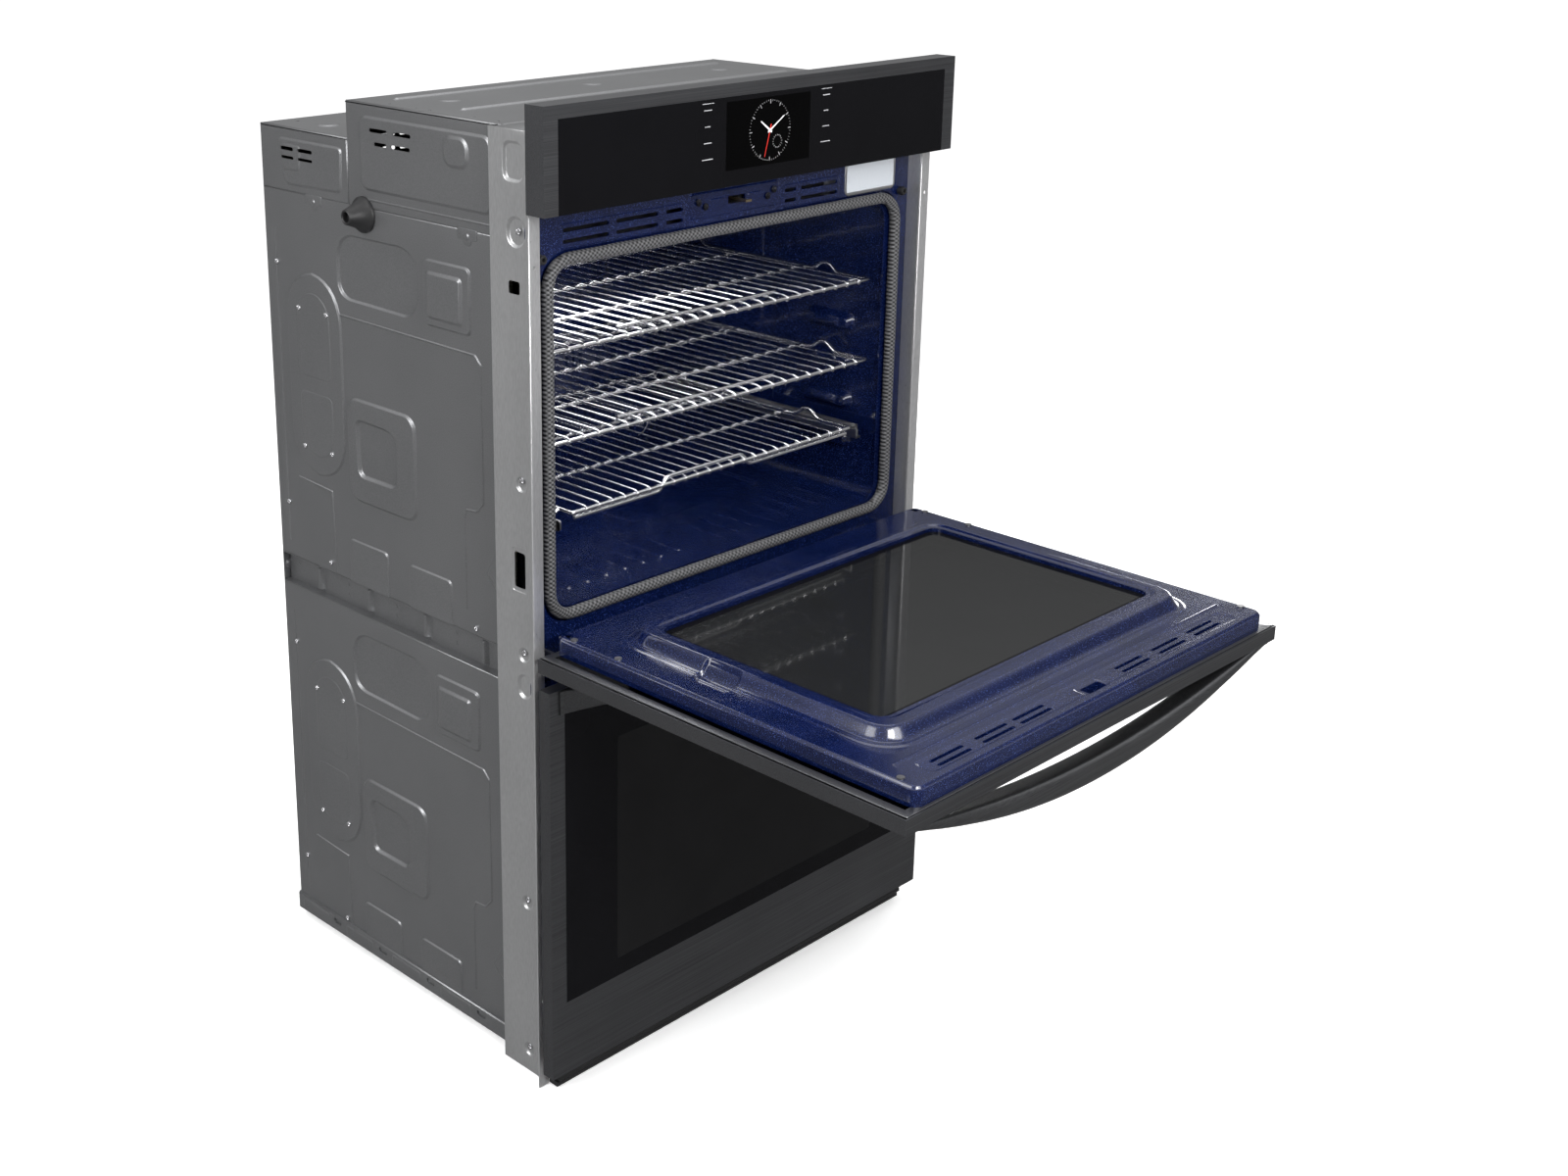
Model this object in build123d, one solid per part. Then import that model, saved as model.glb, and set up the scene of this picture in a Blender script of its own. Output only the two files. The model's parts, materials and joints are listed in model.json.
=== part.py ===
from build123d import *
import math
import os

# Double wall oven, built as separate sheet-metal, glass and mechanical pieces.
# X runs to the right, Y to the back and Z up, in millimetres.  X = 0 is the middle,
# Y = 0 is the back of the mounting flanges, which rest on the kitchen cabinet's face,
# and Z = 0 is the underside of the base pan.  At rest the upper door is open and the
# lower door is shut.

# Overall sizes
WIDTH = 756.0
HALF = WIDTH / 2
FRONT = -34.0
BODY_HALF = 343.0
BODY_FRONT = 80.0
BODY_BACK = 588.0
STEP_Y = 390.0
TOP_Z = 1256.0
DECK_Z = 1207.0
SEAM_Z = 1120.0
SHELF_Z = 1109.5
SHEET = 1.2
CABINET_HOLES_X = 366.0
CABINET_HOLES_Z = (120.0, 1100.0)
CABINET_HOLE_R = 2.5
TRIM_SCREWS_Z = (28.0, 250.0, 600.0, 828.0, 1136.0)
OVEN_PITCH = 568.0
RISES = {"upper": OVEN_PITCH, "lower": 0.0}

# Control panel
PANEL_Z = (1164.0, 1291.0)
PANEL_BACK = -2.0
GLASS = 4.0
DISPLAY_HALF = 78.0
DISPLAY_Z = (1182.0, 1268.0)

# Doors, measured from the bottom edge of each door
DOOR_BASE = 20.0
DOOR_HEIGHTS = {"upper": 572.0, "lower": 553.0}
FRAME_DEPTH = 19.0
LINER_DEPTH = 25.0
LINER_HALF = 354.5
STILE = 25.0
BOTTOM_RAIL = 107.0
SKIN = 1.5
HINGE_Y = -27.0
HINGE_RISE = 14.0
HINGE_X = 342.0
PIN_R = 3.0
HANDLE_HALF = 362.0
HANDLE_REACH = 66.0
HANDLE_GAP = 34.0
HANDLE_FOOT = 30.0
HANDLE_TALL = 32.0
RING_RISE = 16.0
RING_HALF = 306.0
RING_Z = (70.0, 492.0)
RING_SLOPE = 9.0
WINDOW_HALF = 272.0
WINDOW_Z = (104.0, 452.0)
PANE_HALF = 286.0
PANE_Z = (92.0, 464.0)
PANE_SPACING = 14.0
DOOR_SCREW_X = 346.0
LATCH_RISES = {"upper": 545.0, "lower": 530.0}

# Front frames, gaskets and cavities, measured for the lower oven
FRAME_Y = 22.0
FRAME_HALF = 356.8
MOUTH_HALF = 313.0
MOUTH_Z = (82.0, 522.0)
GASKET_R = 8.0
GASKET_HALF = 328.0
GASKET_Z = (74.0, 530.0)
SEAT_Y = 27.0
CAVITY_HALF = 318.0
CAVITY_Z = (78.0, 526.0)
CAVITY_BACK = 500.0
WALL = 1.5
COVER_HALF = 160.0
COVER_TALL = 250.0
COVER_FRONT = 452.0
BUMPER_X = 338.5
BUMPER_Z = 535.0

# Heating elements, as heights for the lower oven
ELEMENT_R = 3.5
ELEMENT_REACH = 230.0
ELEMENT_LEGS = 6
ELEMENT_Y = (90.0, 420.0)
BROIL_Z = 510.0
BAKE_Z = 68.0

# Racks, as ledge heights for the lower oven
RACK_LEVELS = (172.0, 231.0, 289.0, 348.0, 407.0)
LEDGE = 8.0
LEDGE_HALF = 297.0
LEDGE_Y = (60.0, 440.0)
RACK_HALF = 302.0
RACK_Y = (40.0, 446.0)
ROD_R = 3.0
WIRE_R = 1.75
WIRE_COUNT = 23
RACK_GAP = 0.3
GLIDE_HALF = 274.0

# Steam reservoir drawer
DRAWER_X = (218.0, 328.0)
DRAWER_Z = (1107.5, 1161.0)
DRAWER_BACK = 230.0

# Fans
FAN_Z = 302.0
FAN_Y = 478.0
FAN_R = 72.0
SHAFT_R = 4.0
RUNNING = 0.05
BLOWER = (0.0, 210.0, 1176.0)
BLOWER_R = 30.0
BLOWER_HALF = 130.0

os.makedirs("parts", exist_ok=True)


def block(x, y, z):
    """A box from its (low, high) span along each axis."""
    spans = (x, y, z)
    size = [high - low for low, high in spans]
    centre = [(high + low) / 2 for low, high in spans]
    return Pos(*centre) * Box(*size)


def slab(half, z, y, radius):
    """A plate centred on X = 0 with rounded corners, seen from the front."""
    height = z[1] - z[0]
    outline = RectangleRounded(2 * half, height, radius)
    plate = Plane.XZ * extrude(outline, y[1] - y[0])
    return Pos(0, y[1], (z[0] + z[1]) / 2) * plate


def rod(start, end, radius):
    """A round bar between two points."""
    run = Vector(*end) - Vector(*start)
    return Solid.make_cylinder(radius, run.length, Plane(origin=start, z_dir=run))


def disc(centre, radius, length):
    """A round bar along +Y from its front centre."""
    x, y, z = centre
    return rod(centre, (x, y + length, z), radius)


def ring_bar(half, z, y, radius, corner):
    """A round bar bent into a rounded rectangle that faces the front."""
    middle = (z[0] + z[1]) / 2
    outline = RectangleRounded(2 * half, z[1] - z[0], corner)
    path = (Pos(0, y, middle) * (Plane.XZ * outline)).face().outer_wire()
    start = Plane(origin=path @ 0, z_dir=path % 0)
    return sweep(start * Circle(radius), path, transition=Transition.ROUND)


def mirrored(shape):
    """The shape and its mirror image across X = 0."""
    return [shape, mirror(shape, about=Plane.YZ)]


def fused(first, others):
    """One solid from overlapping pieces."""
    return Part() + [first, *others]


def save(name, *shapes):
    """Write one node, made of one or more separate solids."""
    solids = []
    for shape in shapes:
        solids.extend(shape.solids())
    node = solids[0] if len(solids) == 1 else Compound(solids)
    export_step(node, f"parts/{name}.step")


# ---- cabinet shell -------------------------------------------------------------------


def side_panel(low, high, back):
    """The left sheet side between two heights, with a pressed square pad."""
    sheet = block((-BODY_HALF, -BODY_HALF + SHEET), (BODY_FRONT, back), (low, high))
    pad_z = low + 216.0
    pad_y = 337.0
    pad_half = 75.0
    pad = block((-BODY_HALF - 2.5, -BODY_HALF), (pad_y - pad_half, pad_y + pad_half),
                (pad_z - pad_half, pad_z + pad_half))
    return sheet + pad


def save_side_panels():
    edge = BODY_BACK - SHEET
    panels = []
    for low, high in ((SHEET, 540.0), (586.0, SEAM_Z)):
        panels += mirrored(side_panel(low, high, edge))
    save("side_panels", *panels)


def save_mid_rails():
    """Channels that join the upper and lower side panels."""
    y = (BODY_FRONT + 8.0, BODY_BACK - SHEET)
    web = block((-BODY_HALF + 12.0, -BODY_HALF + 12.0 + SHEET), y, (540.0, 586.0))
    low = block((-BODY_HALF, -BODY_HALF + 12.0), y, (540.0, 540.0 + SHEET))
    high = block((-BODY_HALF, -BODY_HALF + 12.0), y, (586.0 - SHEET, 586.0))
    save("mid_rails", *mirrored(web + low + high))


def hood(y, top):
    """A folded cover, with a top and two sides that come down to the seam."""
    outer = block((-BODY_HALF, BODY_HALF), y, (SEAM_Z, top))
    inner_half = BODY_HALF - SHEET
    inner = block((-inner_half, inner_half), (y[0] - 1, y[1] + 1), (SEAM_Z - 1, top - SHEET))
    return outer - inner


def save_covers():
    front = hood((BODY_FRONT, STEP_Y), TOP_Z)
    step_wall = block((-BODY_HALF + SHEET, BODY_HALF - SHEET), (STEP_Y - SHEET, STEP_Y),
                      (DECK_Z - SHEET, TOP_Z - SHEET))
    ribs = [block((-300, 305), (y - 6, y + 6), (TOP_Z, TOP_Z + 2.5)) for y in (210, 346)]
    front_sheet = block((-FRAME_HALF, FRAME_HALF), (FRAME_Y + SKIN, BODY_FRONT),
                        (TOP_Z - SHEET, TOP_Z))
    save("top_cover", fused(front, [step_wall, front_sheet, *ribs]))
    save("rear_deck_cover", hood((STEP_Y, BODY_BACK - SHEET), DECK_Z))
    save("back_panel", block((-BODY_HALF, BODY_HALF), (BODY_BACK - SHEET, BODY_BACK),
                             (SHEET, DECK_Z)))


def save_base_pan():
    floor = block((-BODY_HALF - SHEET, BODY_HALF + SHEET), (PANEL_BACK, BODY_BACK), (0, SHEET))
    flange = block((-BODY_HALF - SHEET, -BODY_HALF), (BODY_FRONT + 8.0, BODY_BACK), (0, 28))
    save("base_pan", fused(floor, mirrored(flange)))


def save_shelves():
    """The sheets above the upper oven and between the two ovens."""
    y = (FRAME_Y + SKIN, BODY_BACK - SHEET)
    top_half = BODY_HALF - SHEET
    top = block((-top_half, top_half), y, (SHELF_Z, SHELF_Z + SHEET))
    between_half = BODY_HALF - 12.0 - SHEET
    between = block((-between_half, between_half), y, (562.0, 562.0 + SHEET))
    save("inner_shelves", top, between)


def side_trim():
    """The left mounting strip: front flange, side face and the return to the panel."""
    z = (-10.0, TOP_Z)
    flange = block((-374, -FRAME_HALF), (PANEL_BACK, 0), z)
    side = block((-FRAME_HALF - SHEET, -FRAME_HALF), (0, BODY_FRONT + 8.0), z)
    back = block((-FRAME_HALF, -BODY_HALF - SHEET), (BODY_FRONT + 6.8, BODY_FRONT + 8.0), z)
    strip = fused(flange, [side, back])
    for height in CABINET_HOLES_Z:
        strip -= disc((-CABINET_HOLES_X, PANEL_BACK - 1, height), CABINET_HOLE_R, 4)
    return strip


def save_side_trims():
    save("side_trims", *mirrored(side_trim()))
    screws = []
    for height in TRIM_SCREWS_Z:
        face = -FRAME_HALF - SHEET
        screws += mirrored(rod((face, 36, height), (face - 2.5, 36, height), 5))
    save("trim_screws", *screws)


# ---- fronts, cavities and seals ------------------------------------------------------


def front_frame(z, rise, latch_z):
    """The enamelled front sheet around an oven's mouth."""
    plate = block((-FRAME_HALF, FRAME_HALF), (FRAME_Y, FRAME_Y + SKIN), z)
    low, high = (value + rise for value in GASKET_Z)
    reach = GASKET_R + 1.5
    lip = slab(GASKET_HALF + reach + SHEET, (low - reach - SHEET, high + reach + SHEET),
               (FRAME_Y, SEAT_Y), 40)
    hole = slab(GASKET_HALF + reach, (low - reach, high + reach),
                (FRAME_Y - 1, SEAT_Y + 1), 39)
    frame = plate + lip - hole
    receiver_z = rise + DOOR_BASE + HINGE_RISE
    for side in (-1, 1):
        x = side * HINGE_X
        frame -= block((x - 4, x + 4), (FRAME_Y - 1, SEAT_Y), (receiver_z - 9, receiver_z + 9))
    frame -= block((-14, 18), (FRAME_Y - 1, SEAT_Y + 1), (latch_z - 6, latch_z + 6))
    return frame


def save_front_frames():
    latch = {name: latch_height(name) for name in RISES}
    lower = front_frame((SHEET, 574.0), 0, latch["lower"])
    upper = front_frame((576.0, TOP_Z), OVEN_PITCH, latch["upper"])
    slot_rows = (1118.0, 1132.0)
    groups = ((-300, -224), (-212, -140), (-126, -92), (92, 108), (122, 202))
    for row in slot_rows:
        for x in groups:
            upper -= block(x, (FRAME_Y - 1, FRAME_Y + SKIN + 1), (row - 2.5, row + 2.5))
    upper -= block((DRAWER_X[0] + 2, DRAWER_X[1] - 2), (FRAME_Y - 1, FRAME_Y + SKIN + 1),
                   (DRAWER_Z[0] + 4.2, DRAWER_Z[1] - 0.5))
    save("lower_front_frame", lower)
    save("upper_front_frame", upper)


def latch_height(name):
    return RISES[name] + DOOR_BASE + LATCH_RISES[name]


def cavity(rise):
    """The enamelled oven tub: five welded walls and a flange around the mouth."""
    low, high = (value + rise for value in CAVITY_Z)
    depth = (SEAT_Y + WALL, CAVITY_BACK + WALL)
    across = (-CAVITY_HALF, CAVITY_HALF)
    side = block((-CAVITY_HALF - WALL, -CAVITY_HALF), depth, (low - WALL, high + WALL))
    floor = block(across, depth, (low - WALL, low))
    ceiling = block(across, depth, (high, high + WALL))
    back = block(across, (CAVITY_BACK, CAVITY_BACK + WALL), (low, high))
    back -= disc((0, CAVITY_BACK - 1, FAN_Z + rise), 8, WALL + 2)
    return [*mirrored(side), floor, ceiling, back, *mouth_flange(rise)]


def mouth_flange(rise):
    """Four strips around the mouth, which the gasket lies on."""
    y = (SEAT_Y, SEAT_Y + WALL)
    outer_half = GASKET_HALF + GASKET_R + 2
    bottom = (GASKET_Z[0] + rise - GASKET_R - 2, MOUTH_Z[0] + rise)
    top = (MOUTH_Z[1] + rise, GASKET_Z[1] + rise + GASKET_R + 2)
    side = block((-outer_half, -MOUTH_HALF), y, (bottom[1], top[0]))
    rows = [block((-outer_half, outer_half), y, z) for z in (bottom, top)]
    return [*rows, *mirrored(side)]


def ledges(rise):
    """Supports for the racks, welded to the tub's two sides."""
    supports = []
    for level in RACK_LEVELS:
        supports += mirrored(block((-CAVITY_HALF, -LEDGE_HALF), LEDGE_Y,
                                   (level + rise - LEDGE, level + rise)))
    return supports


def gasket(rise):
    """The woven seal that lies around the mouth."""
    z = tuple(value + rise for value in GASKET_Z)
    return ring_bar(GASKET_HALF, z, SEAT_Y - GASKET_R, GASKET_R, 34)


def bumper(x, rise):
    """A rubber ring that the shut door rests near."""
    height = BUMPER_Z + rise
    return disc((x, 12, height), 5.5, 10) - disc((x, 11, height), 2.2, 6)


def serpentine(height):
    """A heating rod bent back and forth at one height."""
    pitch = 2 * ELEMENT_REACH / (ELEMENT_LEGS - 1)
    points = []
    for index in range(ELEMENT_LEGS):
        x = -ELEMENT_REACH + pitch * index
        ends = ELEMENT_Y if index % 2 == 0 else ELEMENT_Y[::-1]
        points += [(x, ends[0], height), (x, ends[1], height)]
    path = FilletPolyline(*points, radius=pitch * 0.4)
    return sweep(Plane(origin=path @ 0, z_dir=path % 0) * Circle(ELEMENT_R), path)


def insulation(rise):
    """Glass-wool blanket around the sides, top, bottom and back of a cavity."""
    outer = block((-338, 338), (90, 540), (44 + rise, 538 + rise))
    inner = block((-321, 321), (89, 505), (60 + rise, 530 + rise))
    return outer - inner - disc((0, 500, FAN_Z + rise), 8, 50)


def fan_cover(rise):
    """The dished cover on the cavity's back wall, with air holes."""
    z = (FAN_Z - COVER_TALL / 2 + rise, FAN_Z + COVER_TALL / 2 + rise)
    dish = slab(COVER_HALF, z, (COVER_FRONT, CAVITY_BACK), 30)
    dish -= slab(COVER_HALF - WALL, (z[0] + WALL, z[1] - WALL),
                 (COVER_FRONT + WALL, CAVITY_BACK + 1), 28.5)
    for ring, count in ((16, 6), (34, 12), (52, 16)):
        for index in range(count):
            angle = 2 * math.pi * index / count
            x = ring * math.cos(angle)
            height = FAN_Z + rise + ring * math.sin(angle)
            dish -= disc((x, COVER_FRONT - 1, height), 4, 4)
    return dish


def fan(rise):
    """Convection fan: a hub, a back plate, eight blades and its shaft."""
    centre_z = FAN_Z + rise
    hub = disc((0, FAN_Y - 12, centre_z), 12, 24)
    plate = disc((0, FAN_Y + 10, centre_z), FAN_R, 1.5)
    shaft = disc((0, FAN_Y, centre_z), SHAFT_R, 96)
    blade = block((10, FAN_R), (FAN_Y - 10, FAN_Y + 10.5), (-1, 1))
    blades = [Pos(0, 0, centre_z) * Rot(0, 45 * index, 0) * blade for index in range(8)]
    return fused(hub, [plate, shaft, *blades])


def motor(rise):
    body = disc((0, 541, FAN_Z + rise), 38, 38)
    return body - disc((0, 540, FAN_Z + rise), SHAFT_R + RUNNING, 36)


def convection_ring(rise):
    """A ring-shaped heating rod around the fan."""
    ring = Torus(100, ELEMENT_R)
    return Pos(0, FAN_Y, FAN_Z + rise) * Rot(90, 0, 0) * ring


def lamp(rise):
    """A glass-covered lamp in the cavity's left wall, above the racks."""
    x = -CAVITY_HALF
    return rod((x, 380, 470 + rise), (x + 8, 380, 470 + rise), 26)


def save_oven_insides():
    for name, rise in RISES.items():
        save(f"{name}_cavity", *cavity(rise), *ledges(rise))
        save(f"{name}_convection_fan", fan(rise))
    rises = RISES.values()
    save("gaskets", *[gasket(rise) for rise in rises])
    save("front_bumpers", *[bumper(x, rise) for rise in rises for x in (-BUMPER_X, BUMPER_X)])
    save("insulation", *[insulation(rise) for rise in rises])
    save("fan_covers", *[fan_cover(rise) for rise in rises])
    save("fan_motors", *[motor(rise) for rise in rises], blower_motor())
    save("oven_lamps", *[lamp(rise) for rise in rises])
    elements = [convection_ring(rise) for rise in rises]
    for height in (BROIL_Z, BAKE_Z):
        elements += [serpentine(height + rise) for rise in rises]
    save("heating_elements", *elements)


# ---- racks ---------------------------------------------------------------------------


def wire_grid(half, y, height, wires):
    """Cross bars in the frame plane with thin wires welded on top of them."""
    rods = []
    for bar_y in (y[0] + 90, (y[0] + y[1]) / 2, y[1] - 90):
        rods.append(rod((-half, bar_y, height), (half, bar_y, height), ROD_R - 0.6))
    lift = ROD_R + 0.8
    for index in range(wires):
        x = -half + 2 * half * (index + 1) / (wires + 1)
        rods.append(rod((x, y[0], height + lift), (x, y[1], height + lift), WIRE_R))
    return rods


def rack_frame(half, y, height, corner=14.0):
    """The heavier rod around the outside of a rack."""
    outline = RectangleRounded(2 * half, y[1] - y[0], corner)
    path = (Pos(0, (y[0] + y[1]) / 2, height) * outline).face().outer_wire()
    start = Plane(origin=path @ 0, z_dir=path % 0)
    return sweep(start * Circle(ROD_R), path, transition=Transition.ROUND)


def rack(ledge):
    """A wire rack that rests just above a pair of ledges."""
    height = ledge + RACK_GAP + ROD_R
    return fused(rack_frame(RACK_HALF, RACK_Y, height),
                 wire_grid(RACK_HALF, RACK_Y, height, WIRE_COUNT))


def glide_parts(ledge):
    """Fixed outer rails, sliding middle rails and the rack that they carry."""
    y = (48.0, 444.0)
    base = ledge + RACK_GAP
    outer = block((-306, -296), y, (base, base + 3)) + block((-299, -296), y, (base, base + 22))
    middle = block((-295.5, -291.5), (46, 440), (base + 4, base + 18))
    height = base + 24
    frame = rack_frame(GLIDE_HALF, RACK_Y, height)
    grid = wire_grid(GLIDE_HALF, RACK_Y, height, WIRE_COUNT - 2)
    inner = block((-291, -288), (44, 440), (base + 4, base + 18))
    arms = [block((-290, -GLIDE_HALF), (arm_y, arm_y + 8), (base + 16, height + 1))
            for arm_y in (60, 230, 400)]
    moving = fused(frame, grid)
    for side in mirrored(fused(inner, arms)):
        moving = moving + side
    return mirrored(outer), mirrored(middle), moving


def save_racks():
    save("upper_top_rack", rack(RACK_LEVELS[4] + OVEN_PITCH))
    save("upper_middle_rack", rack(RACK_LEVELS[2] + OVEN_PITCH))
    outer, middle, moving = glide_parts(RACK_LEVELS[0] + OVEN_PITCH)
    save("glide_rails_fixed", *outer)
    save("glide_rails_middle", *middle)
    save("glide_rack", moving)
    save("lower_racks", *[rack(RACK_LEVELS[index]) for index in (1, 3)])


# ---- steam reservoir drawer ----------------------------------------------------------


def save_reservoir():
    """A flat water tank behind a metal face, and the sleeve that it slides in."""
    low = DRAWER_Z[0] + 5.5
    high = DRAWER_Z[1] - 2.0
    tank_x = (DRAWER_X[0] + 4, DRAWER_X[1] - 4)
    face = block(DRAWER_X, (FRAME_Y - 3.0, FRAME_Y - 0.5), DRAWER_Z)
    face = fillet(face.edges().filter_by(Axis.Y), 8)
    tank = block(tank_x, (FRAME_Y - 0.5, DRAWER_BACK), (low, high))
    hollow = block((tank_x[0] + 2, tank_x[1] - 2), (FRAME_Y + 2, DRAWER_BACK - 2),
                   (low + 2, high + 1))
    save("reservoir_face", face)
    save("reservoir_tank", tank - hollow)
    sleeve_x = (tank_x[0] - 1.7, tank_x[1] + 1.7)
    sleeve = block(sleeve_x, (FRAME_Y + SKIN, DRAWER_BACK + 4), (low - 2, high + 2))
    room = block((sleeve_x[0] + SHEET, sleeve_x[1] - SHEET), (FRAME_Y, DRAWER_BACK + 2),
                 (low - 0.6, high + 0.6))
    save("reservoir_sleeve", sleeve - room)


# ---- latches and the cooling blower --------------------------------------------------


def latch_plate(height):
    """The screwed plate around a latch, with a slot for the hook."""
    plate = block((-80, 80), (FRAME_Y - 1.2, FRAME_Y), (height - 9, height + 9))
    return plate - block((-14, 18), (FRAME_Y - 2, FRAME_Y + 1), (height - 5, height + 5))


def latch_hook(height):
    """A flat hook that turns sideways to catch the door liner."""
    z = (height - 1.5, height + 1.5)
    hook = block((-3, 3), (0, 50), z) + block((-3, 8), (0, 4), z)
    hook += rod((0, 45, z[0]), (0, 45, z[1]), 7)
    return hook - rod((0, 45, z[0] - 1), (0, 45, z[1] + 1), 3)


def latch_motor(height):
    """The latch's base plate with the pivot pin that the hook turns on."""
    plate = block((-40, 40), (FRAME_Y + SKIN, 75), (height - 7, height - 5))
    pin = rod((0, 45, height - 6), (0, 45, height + 5), 3 - RUNNING)
    box = block((14, 38), (30, 70), (height - 5, height + 5))
    return fused(plate, [pin, box])


def save_latches():
    heights = [latch_height(name) for name in RISES]
    save("latch_plates", *[latch_plate(height) for height in heights])
    save("latch_motors", *[latch_motor(height) for height in heights])
    for name in RISES:
        save(f"{name}_latch_hook", latch_hook(latch_height(name)))


def save_blower():
    """Cross-flow blower that draws air through the slots under the control panel."""
    x, y, z = BLOWER
    span = (x - BLOWER_HALF - 6, x + BLOWER_HALF + 6)
    housing = block(span, (y - 50, y + 50), (SHELF_Z + SHEET, z + 42))
    housing -= rod((span[0] + 1.5, y, z), (span[1] - 1.5, y, z), BLOWER_R + 6)
    housing -= block((span[0] + 1.5, span[1] - 1.5), (y - 51, y), (z - 34, z - 4))
    housing -= rod((span[0] - 1, y, z), (span[1] + 1, y, z), SHAFT_R + RUNNING)
    save("cooling_blower_housing", housing)
    drum = rod((-BLOWER_HALF, y, z), (BLOWER_HALF, y, z), BLOWER_R)
    drum -= rod((-BLOWER_HALF + 2, y, z), (BLOWER_HALF - 2, y, z), BLOWER_R - 3)
    slots = 12
    for index in range(slots):
        slot = block((-BLOWER_HALF + 8, BLOWER_HALF - 8), (BLOWER_R - 6, BLOWER_R + 2), (-4, 4))
        drum -= Pos(0, y, z) * Rot(360 * index / slots, 0, 0) * slot
    axle = rod((-BLOWER_HALF - 14, y, z), (BLOWER_HALF + 40, y, z), SHAFT_R)
    save("cooling_blower_wheel", drum + axle)


def blower_motor():
    x, y, z = BLOWER
    start = x + BLOWER_HALF + 6
    body = rod((start, y, z), (start + 46, y, z), 28)
    return body - rod((start - 1, y, z), (start + 42, y, z), SHAFT_R + RUNNING)


# ---- control panel and outside details -----------------------------------------------


def save_control_panel():
    glass_top = PANEL_Z[1] - 16
    glass_half = HALF - 22
    shell = block((-HALF, HALF), (FRONT, PANEL_BACK), PANEL_Z)
    pocket = block((-HALF + SKIN, HALF - SKIN), (FRONT + GLASS, PANEL_BACK + 1),
                   (PANEL_Z[0] + SKIN, PANEL_Z[1] - SKIN))
    window_z = (PANEL_Z[0], glass_top)
    window = block((-glass_half, glass_half), (FRONT - 1, FRONT + GLASS), window_z)
    save("control_panel_frame", shell - pocket - window)
    save("control_panel_glass", block((-glass_half, glass_half), (FRONT, FRONT + GLASS),
                                      window_z))
    display_y = (FRONT + GLASS, FRONT + GLASS + 9)
    save("touch_display", block((-DISPLAY_HALF, DISPLAY_HALF), display_y, DISPLAY_Z))
    board = block((-210, 210), (display_y[1], display_y[1] + 1.6), (1176, 1274))
    chips = [block((x, x + 24), (display_y[1] + 1.6, display_y[1] + 7), (1210, 1234))
             for x in (-180, -120, 100, 160)]
    save("control_board", fused(board, chips))


def save_outside_details():
    """Access covers and cone on the sides, and the vent trim under the lower door."""
    covers = []
    for rise in RISES.values():
        plate = Plane.YZ * extrude(SlotOverall(282, 118, rotation=90), 2)
        covers += mirrored(Pos(-BODY_HALF - 2, 480, 302 + rise) * plate)
    save("side_access_covers", *covers)
    cone = Cone(24, 8, 30)
    save("side_grommet", Pos(-BODY_HALF - 15, 358, 1111) * Rot(0, -90, 0) * cone)
    upper_rail = block((-FRAME_HALF, FRAME_HALF), (-24, PANEL_BACK), (3, 10))
    lower_rail = block((-FRAME_HALF, FRAME_HALF), (-20, PANEL_BACK), (-8, -1))
    web = block((-FRAME_HALF, FRAME_HALF), (-6, PANEL_BACK), (-1.5, 3.5))
    save("lower_vent_trim", upper_rail + lower_rail + web)


# ---- doors ---------------------------------------------------------------------------


def hinge_slots():
    """Room for the hinge arms through the bottom edge of a door."""
    return [block((side * HINGE_X - 4.5, side * HINGE_X + 4.5), (-32.6, 11), (-1, 24))
            for side in (-1, 1)]


def door_frame(height):
    """The dark metal front with returned edges and a window for the outer glass."""
    shell = block((-HALF, HALF), (FRONT, FRONT + FRAME_DEPTH), (0, height))
    pocket = block((-HALF + SKIN, HALF - SKIN), (FRONT + GLASS, FRONT + FRAME_DEPTH + 1),
                   (SKIN, height - SKIN))
    shell -= pocket
    shell -= door_window(height, FRONT - 1)
    for slot in hinge_slots():
        shell -= slot
    return shell


def door_window(height, front):
    return block((-HALF + STILE, HALF - STILE), (front, FRONT + GLASS),
                 (BOTTOM_RAIL, height - 6))


def door_liner(height, latch_rise):
    """The blue inside of the door: a pan with a raised ring around the window."""
    back = FRONT + FRAME_DEPTH
    face = back + LINER_DEPTH
    z = (5.0, height - 6)
    pan = block((-LINER_HALF, LINER_HALF), (back, face), z)
    flange = block((-374, 374), (back, back + SHEET), (2, height - 2))
    top_z = (RING_Z[0] + RING_SLOPE, RING_Z[1] - RING_SLOPE)
    ring = loft([ring_section(face, RING_HALF, RING_Z),
                 ring_section(face + RING_RISE, RING_HALF - RING_SLOPE, top_z)])
    hollow = block((-LINER_HALF + SHEET, LINER_HALF - SHEET), (back - 1, face - SHEET),
                   (z[0] + SHEET, z[1] - SHEET))
    low_z, high_z = RING_Z
    inside = loft([ring_section(face - SHEET - 0.01, RING_HALF - SKIN,
                                (low_z + SKIN, high_z - SKIN)),
                   ring_section(face + RING_RISE - SHEET, RING_HALF - RING_SLOPE - SKIN,
                                (top_z[0] + SKIN, top_z[1] - SKIN))])
    window = slab(WINDOW_HALF, WINDOW_Z, (back, face + RING_RISE + 1), 14)
    lip = slab(WINDOW_HALF + SHEET, (WINDOW_Z[0] - SHEET, WINDOW_Z[1] + SHEET),
               (face - SHEET, face + RING_RISE), 15)
    liner = pan + flange + ring - hollow - inside + lip - window
    for slot in hinge_slots():
        liner -= slot
    return liner - block((-12, 14), (face - 5, face + 1), (latch_rise - 6, latch_rise + 6))


def ring_section(y, half, z):
    outline = RectangleRounded(2 * half, z[1] - z[0], 40)
    return Pos(0, y, (z[0] + z[1]) / 2) * (Plane.XZ * outline)


def inner_pane_y():
    """The front of the pane that lies right behind the liner's face."""
    return FRONT + FRAME_DEPTH + LINER_DEPTH - SHEET - GLASS


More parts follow.
